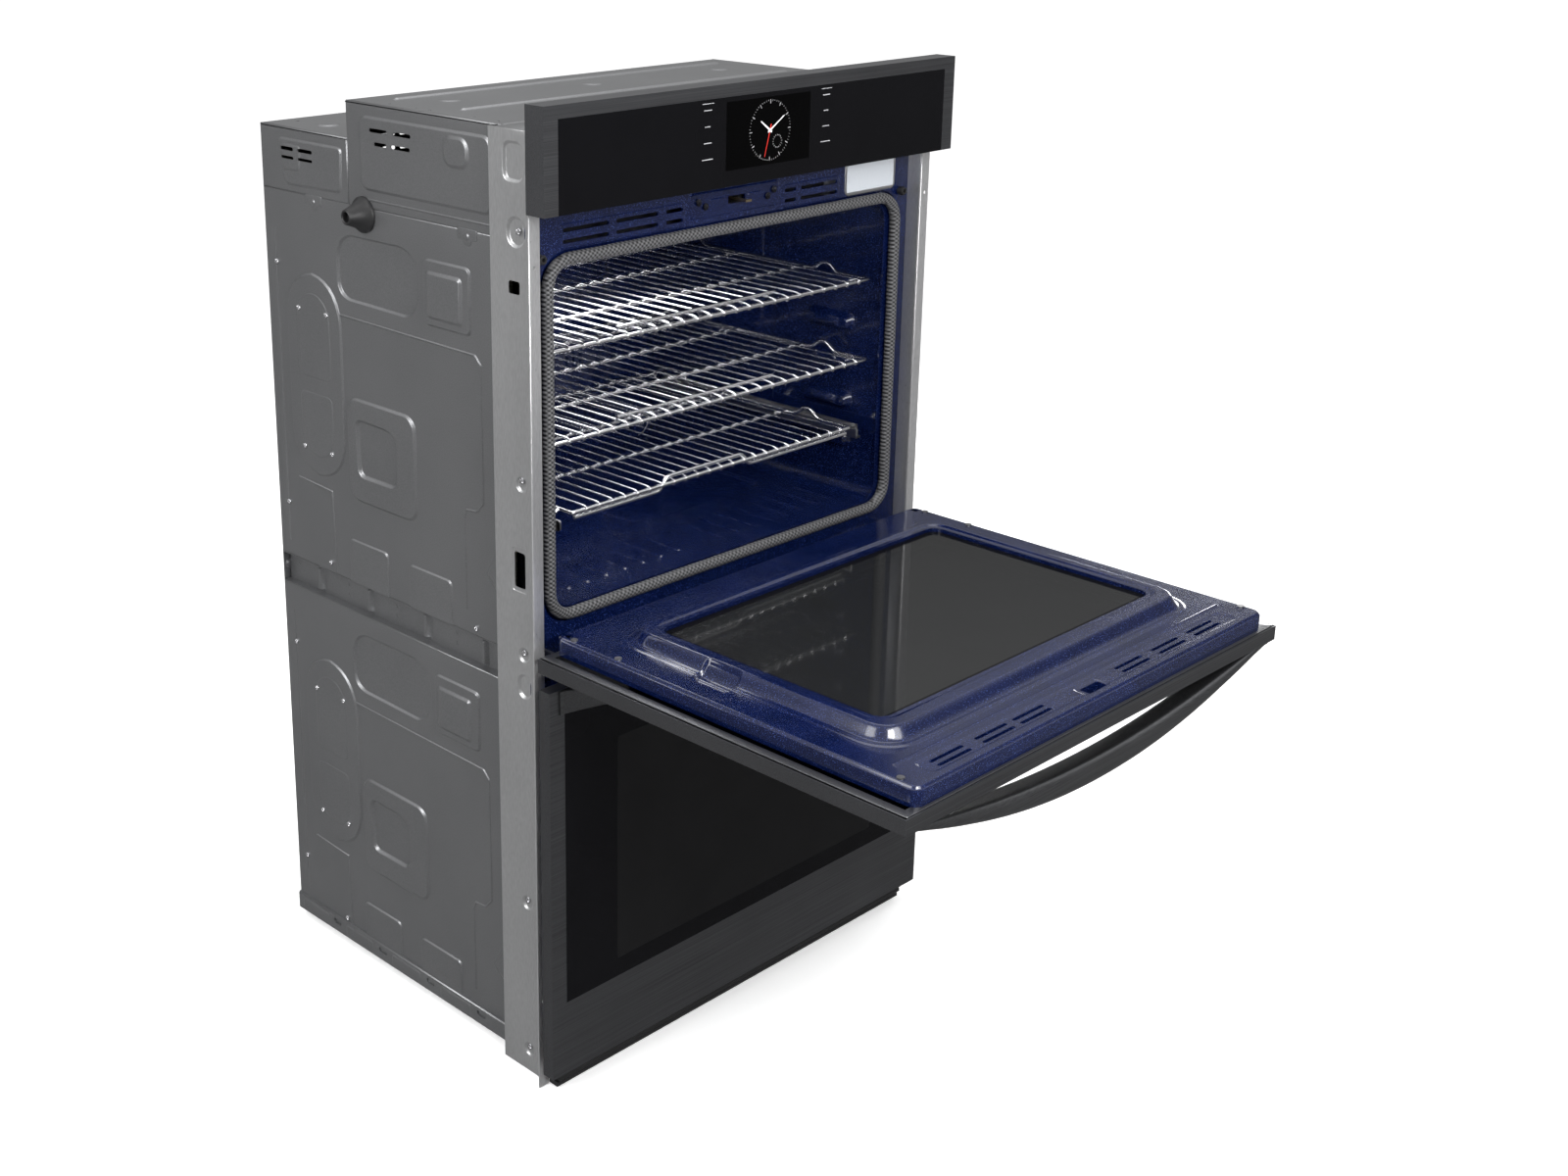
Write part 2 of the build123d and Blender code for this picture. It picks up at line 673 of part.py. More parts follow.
def door_panes():
    """The two inner panes, as wide as the liner's window needs."""
    return [block((-PANE_HALF, PANE_HALF), (y, y + GLASS), PANE_Z)
            for y in (inner_pane_y(), inner_pane_y() - PANE_SPACING)]


def pane_frame():
    """The folded frame that holds the two inner panes apart."""
    y = inner_pane_y()
    band = 8.0
    ring = block((-PANE_HALF, PANE_HALF), (y - PANE_SPACING + GLASS, y), PANE_Z)
    return ring - block((-PANE_HALF + band, PANE_HALF - band), (y - PANE_SPACING, y + 1),
                        (PANE_Z[0] + band, PANE_Z[1] - band))


def door_handle(height):
    """A crescent-shaped bar that springs from the door's two top corners."""
    low = height - HANDLE_TALL - 1
    foot = HANDLE_HALF - HANDLE_FOOT
    outer = ThreePointArc((-HANDLE_HALF, FRONT), (0, FRONT - HANDLE_REACH), (HANDLE_HALF, FRONT))
    inner = ThreePointArc((foot, FRONT), (0, FRONT - HANDLE_GAP), (-foot, FRONT))
    crescent = make_face([outer, Line(outer @ 1, inner @ 0), inner, Line(inner @ 1, outer @ 0)])
    return Pos(0, 0, low) * extrude(crescent, HANDLE_TALL, dir=(0, 0, 1))


def door_hinge():
    """A hinge channel in the left of the door, with its pin and its spring."""
    cheeks = block((-HINGE_X - 6, -HINGE_X + 6), (FRONT + GLASS, 8), (6.5, 130))
    cheeks -= block((-HINGE_X - 4.5, -HINGE_X + 4.5), (FRONT + GLASS + SKIN, 9), (6, 131))
    cheeks -= block((-HINGE_X - 4.5, -HINGE_X + 4.5), (FRONT, 9), (6, 24))
    pin = rod((-HINGE_X - 9, HINGE_Y, HINGE_RISE), (-HINGE_X + 9, HINGE_Y, HINGE_RISE), PIN_R)
    spring = rod((-HINGE_X, -8, 40), (-HINGE_X, -8, 124), 4)
    return [*mirrored(cheeks + pin), *mirrored(spring)]


def door_screws(height):
    face = FRONT + FRAME_DEPTH + LINER_DEPTH
    screws = []
    for rise in (32, 110, height - 34):
        screws += mirrored(disc((-DOOR_SCREW_X, face, rise), 4.5, 1.5))
    return screws


def hinge_arm(rise):
    """The flat arm that reaches from the oven into the door."""
    pivot_z = rise + DOOR_BASE + HINGE_RISE
    arm = block((-HINGE_X - 2.5, -HINGE_X + 2.5), (HINGE_Y, 74), (pivot_z - 5.5, pivot_z + 5.5))
    arm += rod((-HINGE_X - 2.5, HINGE_Y, pivot_z), (-HINGE_X + 2.5, HINGE_Y, pivot_z), 5.5)
    hole = rod((-HINGE_X - 4, HINGE_Y, pivot_z), (-HINGE_X + 4, HINGE_Y, pivot_z),
               PIN_R + RUNNING)
    return arm - hole


def hinge_receiver(rise):
    """The pocket behind the front frame that each hinge arm hooks into."""
    pivot_z = rise + DOOR_BASE + HINGE_RISE
    outer = block((-HINGE_X - 7, -HINGE_X + 7), (FRAME_Y + SKIN, 78), (pivot_z - 9, pivot_z + 9))
    room = block((-HINGE_X - 2.5, -HINGE_X + 2.5), (FRAME_Y, 74), (pivot_z - 5.5, pivot_z + 5.5))
    return outer - room


def save_hinge_fittings():
    arms = []
    receivers = []
    for rise in RISES.values():
        arms += mirrored(hinge_arm(rise))
        receivers += mirrored(hinge_receiver(rise))
    save("hinge_arms", *arms)
    save("hinge_receivers", *receivers)


def place_door(name, shape):
    """Lift a door piece to its oven, and swing the upper one open."""
    base = RISES[name] + DOOR_BASE
    shut = Pos(0, 0, base) * shape
    if name == "lower":
        return shut
    pivot = (0, HINGE_Y, base + HINGE_RISE)
    return Pos(*pivot) * Rot(90, 0, 0) * Pos(*[-value for value in pivot]) * shut


def save_doors():
    for name, height in DOOR_HEIGHTS.items():
        pieces = {
            "frame": [door_frame(height)],
            "glass": [door_window(height, FRONT)],
            "liner": [door_liner(height, LATCH_RISES[name])],
            "inner_panes": door_panes(),
            "pane_frame": [pane_frame()],
            "handle": [door_handle(height)],
            "hinges": door_hinge() + door_screws(height),
        }
        for label, shapes in pieces.items():
            save(f"{name}_door_{label}", *[place_door(name, shape) for shape in shapes])


save_side_panels()
save_mid_rails()
save_covers()
save_base_pan()
save_shelves()
save_side_trims()
save_front_frames()
save_oven_insides()
save_racks()
save_reservoir()
save_latches()
save_blower()
save_control_panel()
save_outside_details()
save_hinge_fittings()
save_doors()
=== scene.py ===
import json
import math

import bpy
import numpy as np
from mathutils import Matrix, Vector
from mathutils.geometry import delaunay_2d_cdt


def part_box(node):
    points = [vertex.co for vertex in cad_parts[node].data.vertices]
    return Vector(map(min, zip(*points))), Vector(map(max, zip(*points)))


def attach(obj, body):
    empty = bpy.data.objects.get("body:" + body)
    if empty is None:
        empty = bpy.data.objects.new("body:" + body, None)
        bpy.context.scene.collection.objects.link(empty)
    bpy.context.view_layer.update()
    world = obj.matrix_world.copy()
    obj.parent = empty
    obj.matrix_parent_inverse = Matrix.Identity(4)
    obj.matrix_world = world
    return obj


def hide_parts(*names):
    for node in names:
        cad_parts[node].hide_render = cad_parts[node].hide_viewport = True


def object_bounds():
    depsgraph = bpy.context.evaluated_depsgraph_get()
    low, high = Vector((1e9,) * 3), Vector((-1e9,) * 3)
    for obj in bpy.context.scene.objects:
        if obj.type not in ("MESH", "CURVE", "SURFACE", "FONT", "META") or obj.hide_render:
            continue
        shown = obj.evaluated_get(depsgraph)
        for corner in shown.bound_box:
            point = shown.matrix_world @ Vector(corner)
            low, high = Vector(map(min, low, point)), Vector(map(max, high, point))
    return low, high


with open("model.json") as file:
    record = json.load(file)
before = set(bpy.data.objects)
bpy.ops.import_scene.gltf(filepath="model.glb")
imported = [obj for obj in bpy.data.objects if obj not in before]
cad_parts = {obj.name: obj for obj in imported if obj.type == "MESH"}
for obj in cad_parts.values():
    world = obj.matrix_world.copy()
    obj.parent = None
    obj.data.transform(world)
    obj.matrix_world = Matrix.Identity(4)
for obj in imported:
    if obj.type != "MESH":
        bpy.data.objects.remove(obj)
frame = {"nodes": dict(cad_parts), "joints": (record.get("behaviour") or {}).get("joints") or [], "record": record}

# Looks of the double wall oven.  Lengths in this script are in millimetres, as in the
# CAD part, and become metres when a piece is made.  X is right, Y is back, Z is up.

MM = 0.001
NODES = frame["nodes"]
CAD_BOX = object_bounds()


def span(node):
    """A CAD node's lowest and highest corners, in millimetres."""
    low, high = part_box(node)
    return [value / MM for value in low], [value / MM for value in high]


def joint_place(name):
    joint = next(item for item in frame["joints"] if item["name"] == name)
    return [value / MM for value in joint["pos_m"]]


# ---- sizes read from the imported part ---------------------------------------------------

SIDE_X = -span("side_panels")[0][0] - 2.5
BACK_Y = span("back_panel")[1][1]
DECK_Z = span("rear_deck_cover")[1][2]
TOP_Z = span("side_trims")[1][2]
SEAM_Z = span("side_panels")[1][2]
STEP_Y = span("rear_deck_cover")[0][1]
BODY_FRONT = span("side_panels")[0][1]
FRAME_Y = span("upper_front_frame")[0][1]
FRAME_X = span("upper_front_frame")[1][0]
FRONT_Y = span("control_panel_frame")[0][1]
PANEL_LOW = span("control_panel_frame")[0][2]
PANEL_TOP = span("control_panel_frame")[1][2]
HALF_WIDTH = span("control_panel_frame")[1][0]
HINGES = {name: joint_place(f"{name}_door_hinge") for name in ("upper", "lower")}
PITCH = HINGES["upper"][2] - HINGES["lower"][2]
RISES = {"upper": PITCH, "lower": 0.0}
LINER_FACE = span("lower_door_liner")[1][1] - 16.0
HINGE_RISE = 14.0
HINGE_X = span("hinge_arms")[1][0] - 2.5


# ---- materials -------------------------------------------------------------------------


class Shader:
    """A Principled material and short ways to add procedural nodes to it."""

    def __init__(self, name, color, roughness=0.5, metallic=0.0, **sockets):
        self.material = bpy.data.materials.new(name)
        self.material.use_nodes = True
        self.tree = self.material.node_tree
        self.bsdf = self.tree.nodes["Principled BSDF"]
        self.set("Base Color", (*color, 1.0))
        self.set("Roughness", roughness)
        self.set("Metallic", metallic)
        for socket, value in sockets.items():
            self.set(socket.replace("_", " "), value)

    def set(self, socket, value):
        self.bsdf.inputs[socket].default_value = value

    def link(self, output, target):
        self.tree.links.new(output, target)

    def node(self, kind, **settings):
        made = self.tree.nodes.new(kind)
        for key, value in settings.items():
            setattr(made, key, value)
        return made

    def coordinates(self, stretch=(1.0, 1.0, 1.0)):
        """Object coordinates in millimetres, stretched along each axis."""
        place = self.node("ShaderNodeTexCoord")
        mapping = self.node("ShaderNodeMapping")
        mapping.inputs["Scale"].default_value = [1000.0 / value for value in stretch]
        self.link(place.outputs["Object"], mapping.inputs["Vector"])
        return mapping.outputs["Vector"]

    def noise(self, size, stretch=(1.0, 1.0, 1.0), detail=3.0, roughness=0.5):
        """A noise value whose features are about size millimetres across."""
        made = self.node("ShaderNodeTexNoise")
        made.inputs["Scale"].default_value = 1.0 / size
        made.inputs["Detail"].default_value = detail
        made.inputs["Roughness"].default_value = roughness
        self.link(self.coordinates(stretch), made.inputs["Vector"])
        return made.outputs["Fac"]

    def cells(self, size, output="Distance", stretch=(1.0, 1.0, 1.0)):
        made = self.node("ShaderNodeTexVoronoi")
        made.inputs["Scale"].default_value = 1.0 / size
        self.link(self.coordinates(stretch), made.inputs["Vector"])
        return made.outputs[output]

    def ramp(self, value, stops):
        """Colours or greys at places from 0 to 1."""
        made = self.node("ShaderNodeValToRGB")
        elements = made.color_ramp.elements
        while len(elements) < len(stops):
            elements.new(0.5)
        for element, (place, color) in zip(elements, stops):
            element.position = place
            element.color = color if len(color) == 4 else (*color, 1.0)
        self.link(value, made.inputs["Fac"])
        return made.outputs["Color"]

    def range(self, value, low, high, source=(0.0, 1.0)):
        made = self.node("ShaderNodeMapRange")
        made.inputs["From Min"].default_value = source[0]
        made.inputs["From Max"].default_value = source[1]
        made.inputs["To Min"].default_value = low
        made.inputs["To Max"].default_value = high
        self.link(value, made.inputs["Value"])
        return made.outputs["Result"]

    def mix(self, factor, first, second, blend="MIX"):
        made = self.node("ShaderNodeMix", data_type="RGBA", blend_type=blend)
        for socket, value in ((0, factor), (6, first), (7, second)):
            if isinstance(value, (float, int, tuple)):
                made.inputs[socket].default_value = value
            else:
                self.link(value, made.inputs[socket])
        return made.outputs[2]

    def color(self, output):
        self.link(output, self.bsdf.inputs["Base Color"])

    def rough(self, output):
        self.link(output, self.bsdf.inputs["Roughness"])

    def bump(self, height, distance, strength=1.0):
        """Bumps distance millimetres deep."""
        made = self.node("ShaderNodeBump")
        made.inputs["Strength"].default_value = strength
        made.inputs["Distance"].default_value = distance * MM
        self.link(height, made.inputs["Height"])
        self.link(made.outputs["Normal"], self.bsdf.inputs["Normal"])


def zinc_sheet(name, dark, light, roughness, grain=(1.0, 1.0, 1.0)):
    """Galvanised sheet: soft cloudy spangle, fine speckle and faint rolling lines."""
    made = Shader(name, light, roughness, 0.82)
    cloud = made.noise(150.0, detail=3.0)
    speck = made.noise(1.4, grain, detail=2.0)
    both = made.mix(0.72, cloud, speck)
    made.color(made.ramp(both, [(0.30, dark), (0.70, light)]))
    made.rough(made.range(speck, roughness - 0.05, roughness + 0.05))
    made.bump(speck, 0.02)
    return made.material


def brushed_dark(name, color, along, roughness=0.34):
    """Dark stainless with fine brushing along one axis."""
    made = Shader(name, color, roughness, 0.95, Coat_Weight=0.12, Coat_Roughness=0.25)
    stretch = [260.0 if axis == along else 0.55 for axis in "xyz"]
    hair = made.noise(1.0, stretch, detail=2.0)
    haze = made.noise(160.0, detail=2.0)
    dark = tuple(value * 0.72 for value in color)
    light = tuple(value * 1.35 for value in color)
    both = made.mix(0.25, hair, haze)
    made.color(made.ramp(both, [(0.32, dark), (0.68, light)]))
    made.rough(made.range(hair, roughness - 0.06, roughness + 0.08))
    made.bump(hair, 0.02)
    return made.material


def porcelain(name, base, speck, roughness=0.17):
    """Glossy enamel with fine pale specks and a slight orange-peel surface."""
    made = Shader(name, base, roughness, 0.0, Coat_Weight=0.25, Coat_Roughness=0.08)
    grain = made.noise(0.9, detail=1.0)
    patch = made.noise(38.0, detail=2.0)
    dots = made.ramp(grain, [(0.0, (0, 0, 0)), (0.65, (0, 0, 0)), (0.74, (1, 1, 1))])
    tone = made.ramp(patch, [(0.3, tuple(v * 0.8 for v in base)), (0.7, tuple(v * 1.2 for v in base))])
    made.color(made.mix(dots, tone, (*speck, 1.0)))
    made.rough(made.range(patch, roughness - 0.04, roughness + 0.06))
    made.bump(made.noise(3.0, detail=1.0), 0.02, 0.4)
    return made.material


def plated(name, color, roughness, grain=1.2):
    """Bright or dull plated steel with a fine uneven surface."""
    made = Shader(name, color, roughness, 1.0)
    fine = made.noise(grain, detail=2.0)
    made.color(made.ramp(fine, [(0.3, tuple(v * 0.85 for v in color)), (0.7, color)]))
    made.rough(made.range(made.noise(12.0), roughness - 0.04, roughness + 0.06))
    return made.material


def polymer(name, color, roughness, grain=0.8, depth=0.04):
    """Moulded plastic or rubber with a fine texture."""
    made = Shader(name, color, roughness)
    fine = made.noise(grain, detail=2.0)
    made.color(made.ramp(fine, [(0.3, tuple(v * 0.8 for v in color)), (0.7, color)]))
    made.rough(made.range(made.noise(20.0), roughness - 0.05, roughness + 0.05))
    made.bump(fine, depth)
    return made.material


def dark_glass(name, color, roughness=0.03):
    """Black-backed glass with a trace of uneven gloss and an anti-glare coat."""
    made = Shader(name, color, roughness, 0.0, IOR=1.45, Specular_IOR_Level=0.10)
    haze = made.noise(90.0, detail=2.0)
    made.color(made.ramp(haze, [(0.3, tuple(v * 0.85 for v in color)), (0.7, color)]))
    made.rough(made.range(haze, roughness * 0.7, roughness * 1.6))
    return made.material


def braided(name):
    """Grey glass-fibre sleeve: fine crossing strands."""
    made = Shader(name, (0.13, 0.13, 0.14), 0.62, 0.15)
    place = made.node("ShaderNodeTexCoord")
    heights = []
    for angle in (0.9, -0.9):
        mapping = made.node("ShaderNodeMapping")
        mapping.inputs["Rotation"].default_value = (0.0, angle, 0.0)
        made.link(place.outputs["Object"], mapping.inputs["Vector"])
        wave = made.node("ShaderNodeTexWave", wave_type="BANDS", bands_direction="X")
        wave.inputs["Scale"].default_value = 70.0
        wave.inputs["Distortion"].default_value = 0.5
        made.link(mapping.outputs["Vector"], wave.inputs["Vector"])
        heights.append(wave.outputs["Fac"])
    weave = made.mix(0.5, heights[0], heights[1])
    made.color(made.ramp(weave, [(0.15, (0.008, 0.008, 0.009)), (0.85, (0.15, 0.15, 0.155))]))
    made.bump(weave, 0.8)
    return made.material


def wool_mat(name):
    made = Shader(name, (0.72, 0.68, 0.52), 0.95)
    fibre = made.noise(2.0, (6.0, 1.0, 1.0), detail=5.0, roughness=0.7)
    made.color(made.ramp(fibre, [(0.3, (0.52, 0.47, 0.30)), (0.7, (0.82, 0.79, 0.66))]))
    made.bump(fibre, 1.5)
    return made.material


def printed_board(name):
    made = Shader(name, (0.02, 0.12, 0.05), 0.4)
    tracks = made.cells(6.0)
    made.color(made.ramp(tracks, [(0.35, (0.02, 0.12, 0.05)), (0.5, (0.05, 0.26, 0.11))]))
    made.bump(tracks, 0.1)
    return made.material


def tinted_glass(name, color, alpha):
    """A heat-reflective pane that shows a little of what is behind it."""
    made = Shader(name, color, 0.04, 0.0, IOR=1.5, Alpha=alpha, Specular_IOR_Level=0.22)
    haze = made.noise(120.0, detail=2.0)
    made.color(made.ramp(haze, [(0.3, tuple(v * 0.9 for v in color)), (0.7, color)]))
    made.rough(made.range(haze, 0.03, 0.07))
    return made.material


def glowing(name, color, strength):
    made = Shader(name, color, 0.4)
    made.set("Emission Color", (*color, 1.0))
    made.set("Emission Strength", strength)
    fine = made.noise(3.0)
    made.rough(made.range(fine, 0.35, 0.45))
    return made.material


MATS = {
    "galvanised": zinc_sheet("galvanised", (0.20, 0.203, 0.21), (0.27, 0.273, 0.28), 0.38),
    "trim_steel": zinc_sheet("trim_steel", (0.43, 0.433, 0.44), (0.54, 0.543, 0.55), 0.36,
                             (1.0, 1.0, 6.0)),
    # A lighter copy of the trim steel, for trim faces that should look lit: painted highlight.
    "trim_painted_highlight": zinc_sheet("trim_painted_highlight", (0.60, 0.60, 0.61), (0.74, 0.74, 0.75), 0.30,
                                (1.0, 1.0, 6.0)),
    "dark_steel": brushed_dark("dark_steel", (0.125, 0.127, 0.135), "x", 0.38),
    "dark_edge": brushed_dark("dark_edge", (0.13, 0.132, 0.14), "z"),
    "handle_steel": brushed_dark("handle_steel", (0.13, 0.132, 0.138), "x", 0.30),
    "black_glass": dark_glass("black_glass", (0.0042, 0.0042, 0.005)),
    "inner_window": dark_glass("inner_window", (0.0085, 0.0085, 0.009)),
    "clear_glass": tinted_glass("clear_glass", (0.013, 0.0135, 0.014), 0.975),
    "blue_enamel": porcelain("blue_enamel", (0.0010, 0.0042, 0.032), (0.07, 0.11, 0.30)),
    "chrome": plated("chrome", (0.93, 0.93, 0.94), 0.20),
    "rail_steel": plated("rail_steel", (0.45, 0.45, 0.46), 0.3),
    "gasket": braided("gasket"),
    "rubber": polymer("rubber", (0.012, 0.012, 0.013), 0.5),
    "bright_screw": plated("bright_screw", (0.72, 0.72, 0.74), 0.25),
    "black_screw": plated("black_screw", (0.05, 0.05, 0.06), 0.3),
    "hinge_steel": plated("hinge_steel", (0.28, 0.28, 0.29), 0.34),
    "brass": plated("brass", (0.50, 0.40, 0.26), 0.3),
    "wool": wool_mat("wool"),
    "element": plated("element", (0.06, 0.055, 0.055), 0.45),
    "board": printed_board("board"),
    "black_plastic": polymer("black_plastic", (0.010, 0.010, 0.011), 0.38),
    "display": dark_glass("display", (0.0004, 0.0004, 0.0005), 0.05),
    "face_metal": plated("face_metal", (0.62, 0.62, 0.63), 0.3),
    "tank": polymer("tank", (0.55, 0.58, 0.62), 0.35),
    "lamp": polymer("lamp", (0.80, 0.78, 0.68), 0.12, depth=0.0),
    "mark": glowing("mark", (0.42, 0.42, 0.44), 0.12),
    "clock_white": glowing("clock_white", (0.80, 0.80, 0.82), 0.5),
    "mark_red": glowing("mark_red", (0.75, 0.03, 0.02), 0.6),
    # Near-black stand-in, set where the inside is only in shade: painted shade.
    "painted_shade_black": polymer("painted_shade_black", (0.004, 0.004, 0.005), 0.8),
}
SLOTS = {material["slot"] for material in frame["record"]["materials"]}


# ---- flat outlines ---------------------------------------------------------------------


def rounded(corners, radius, steps=6):
    """A closed outline with each corner rounded."""
    points = [np.array(corner, float) for corner in corners]
    loop = []
    for index, corner in enumerate(points):
        before = points[index - 1] - corner
        after = points[(index + 1) % len(points)] - corner
        reach = min(radius, np.linalg.norm(before) * 0.49, np.linalg.norm(after) * 0.49)
        start = corner + before / np.linalg.norm(before) * reach
        end = corner + after / np.linalg.norm(after) * reach
        for step in range(steps + 1):
            t = step / steps
            near = start * (1 - t) ** 2 + end * t ** 2
            loop.append(near + corner * (2 * t * (1 - t)) * 0.78
                        + (start + end) / 2 * (2 * t * (1 - t)) * 0.22)
    return counterclockwise(np.array(loop))


def rect(u, v, radius=4.0, steps=6):
    """A rounded rectangle from its spans along the two axes."""
    corners = [(u[0], v[0]), (u[1], v[0]), (u[1], v[1]), (u[0], v[1])]
    if radius <= 0:
        return counterclockwise(np.array(corners, float))
    return rounded(corners, radius, steps)


def slot_loop(u, v):
    """A rectangle whose short ends are half circles."""
    return rect(u, v, min(u[1] - u[0], v[1] - v[0]) * 0.499, 7)


def ring_loop(centre, radius, steps=20):
    angles = np.linspace(0, 2 * math.pi, steps, endpoint=False)
    ring = np.stack([np.cos(angles), np.sin(angles)], 1)
    return np.array(centre, float) + ring * radius


def counterclockwise(loop):
    u, v = loop[:, 0], loop[:, 1]
    area = np.sum(u * np.roll(v, -1) - v * np.roll(u, -1))
    return loop if area > 0 else loop[::-1].copy()


def bead(points, half):
    """The outline of a narrow rib that follows an open line."""
    line = np.array(points, float)
    runs = np.diff(line, axis=0)
    runs /= np.linalg.norm(runs, axis=1)[:, None]
    sides = np.stack([-runs[:, 1], runs[:, 0]], 1)
    at_points = np.vstack([sides[:1], (sides[1:] + sides[:-1]) / 2, sides[-1:]])
    at_points /= (at_points ** 2).sum(1)[:, None]
    left = line + at_points * half
    right = (line - at_points * half)[::-1]
    return rounded(np.vstack([left, right]), half * 0.9, 3)


def inset(loop, distance):
    """The outline moved inwards."""
    ahead = np.roll(loop, -1, 0) - loop
    lengths = np.linalg.norm(ahead, axis=1)
    lengths[lengths < 1e-9] = 1.0
    ahead = ahead / lengths[:, None]
    inward = np.stack([-ahead[:, 1], ahead[:, 0]], 1)
    both = inward + np.roll(inward, 1, 0)
    size = (both ** 2).sum(1)
    size[size < 0.2] = 0.2
    return loop + both * (2.0 / size)[:, None] * distance


def is_inside(points, loop):
    """Which points lie in a closed outline."""
    a, b = loop, np.roll(loop, -1, 0)
    u, v = points[:, :1], points[:, 1:]
    crosses = (a[:, 1] > v) != (b[:, 1] > v)
    rise = np.where(np.abs(b[:, 1] - a[:, 1]) < 1e-12, 1e-12, b[:, 1] - a[:, 1])
    at = a[:, 0] + (v - a[:, 1]) * (b[:, 0] - a[:, 0]) / rise
    return (crosses & (u < at)).sum(1) % 2 == 1


def depth_inside(points, loop):
    """How far each point lies inside an outline; negative outside."""
    a, b = loop, np.roll(loop, -1, 0)
    run = b - a
    size = np.maximum((run ** 2).sum(1), 1e-12)
    to = points[:, None, :] - a[None]
    share = np.clip((to * run).sum(2) / size, 0, 1)
    away = np.sqrt(((to - share[..., None] * run) ** 2).sum(2)).min(1)
    return np.where(is_inside(points, loop), away, -away)


# ---- pressed sheets --------------------------------------------------------------------


class Boss:
    """A shape pressed out of a sheet: its outline, height and the width of its slope."""

    def __init__(self, loop, height, slope=4.0, steps=5):
        self.loop = counterclockwise(np.array(loop, float))
        self.height = height
        self.slope = slope
        self.steps = steps

    def rings(self):
        return [inset(self.loop, self.slope * step / self.steps) for step in range(self.steps + 1)]

    def lift(self, points):
        lifted = np.zeros(len(points))
        near = ((points > self.loop.min(0)) & (points < self.loop.max(0))).all(1)
        if near.any():
            t = np.clip(depth_inside(points[near], self.loop) / self.slope, 0, 1)
            lifted[near] = self.height * t * t * (3 - 2 * t)
        return lifted


def relief(points, bosses):
    total = np.zeros(len(points))
    for boss in bosses:
        total += boss.lift(points)
    return total


def triangulated(loops, lines):
    """Triangles that keep every outline's and line's edges."""
    points, edges = [], []
    for loop in loops:
        start = len(points)
        points += [Vector(point) for point in loop]
        count = len(loop)
        edges += [(start + i, start + (i + 1) % count) for i in range(count)]
    for line in lines:
        start = len(points)
        points += [Vector(point) for point in line]
        edges += [(start + i, start + i + 1) for i in range(len(line) - 1)]
    found = delaunay_2d_cdt(points, edges, [], 0, 1e-3)
    flat = np.array([(point[0], point[1]) for point in found[0]])
    return flat, np.array([face for face in found[2] if len(face) == 3])


def press(name, body, slot, place, outline, bosses=(), holes=(), lines=(), edge=1.2,
          roll=0.0, look=None):
    """Make a sheet with shapes pressed into it.

    place turns (u, v, height) columns into X, Y, Z columns.  edge is how deep the cut
    edges show, and roll is how far the sheet's own border is rounded over.
    """
    outline = counterclockwise(np.array(outline, float))
    holes = [counterclockwise(np.array(hole, float)) for hole in holes]
    shapes = list(bosses)
    if roll:
        shapes.append(Boss(outline, roll, roll))
    loops = [outline, *holes]
    for shape in shapes:
        loops += shape.rings()
    flat, faces = triangulated(loops, lines)
    middle = flat[faces].mean(1)
    keep = is_inside(middle, outline)
    for hole in holes:
        keep &= ~is_inside(middle, hole)
    faces = faces[keep]

    def surface(points, drop=0.0):
        return place(points[:, 0], points[:, 1], relief(points, shapes) - roll - drop)

    step = 0.05
    sideways = surface(flat + (step, 0)) - surface(flat - (step, 0))
    upwards = surface(flat + (0, step)) - surface(flat - (0, step))
    normals = np.cross(sideways, upwards)
    outward = place(flat[:, 0], flat[:, 1], np.ones(len(flat))) - place(
        flat[:, 0], flat[:, 1], np.zeros(len(flat)))
    flip = np.sign((normals * outward).sum(1))[:, None]
    normals = normals * flip / np.maximum(np.linalg.norm(normals, axis=1), 1e-12)[:, None]
    if flip.mean() < 0:
        faces = faces[:, ::-1]
    top = surface(flat)
    low = surface(flat, edge)
    corners, shading, polygons = [top], [normals], [tuple(face) for face in faces]
    count = len(top)
    for a, b in open_edges(faces):
        wall = np.array([top[a], top[b], low[b], low[a]])
        across = np.cross(wall[3] - wall[0], wall[1] - wall[0])
        across /= max(np.linalg.norm(across), 1e-12)
        corners.append(wall)
        shading.append(np.repeat(across[None], 4, 0))
        polygons.append((count + 3, count + 2, count + 1, count))
        count += 4
    return mesh_piece(name, body, slot, np.vstack(corners), polygons, np.vstack(shading), look)


def open_edges(faces):
    """Edges that belong to one triangle only, in that triangle's order."""
    seen = {}
    for face in faces:
        for a, b in ((face[0], face[1]), (face[1], face[2]), (face[2], face[0])):
            key = (min(a, b), max(a, b))
            seen[key] = None if key in seen else (a, b)
    return [edge for edge in seen.values() if edge]


def mesh_piece(name, body, slot, points, polygons, normals=None, look=None):
    """A named mesh in millimetres that rides on a CAD body."""
    mesh = bpy.data.meshes.new(name)
    mesh.from_pydata((np.array(points) * MM).tolist(), [], [tuple(map(int, p)) for p in polygons])
    mesh.polygons.foreach_set("use_smooth", [True] * len(mesh.polygons))
    if normals is not None:
        mesh.normals_split_custom_set_from_vertices([tuple(normal) for normal in normals])
    mesh.validate(clean_customdata=False)
    return finish_piece(bpy.data.objects.new(name, mesh), body, slot, look)


def finish_piece(piece, body, slot, look=None):
    bpy.context.scene.collection.objects.link(piece)
    piece.data.materials.append(MATS[look or slot])
    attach(piece, body)
    return piece


def facing(axis, at, sign=1.0):
    """A place function for a sheet square to an axis, whose height grows along sign."""
    order = {"x": (2, 0, 1), "y": (0, 2, 1), "z": (0, 1, 2)}[axis]

    def place(u, v, height):
        columns = (u, v, at + sign * height)
        return np.stack([columns[index] for index in order], 1)

    return place


# ---- wires, turned and repeated parts --------------------------------------------------


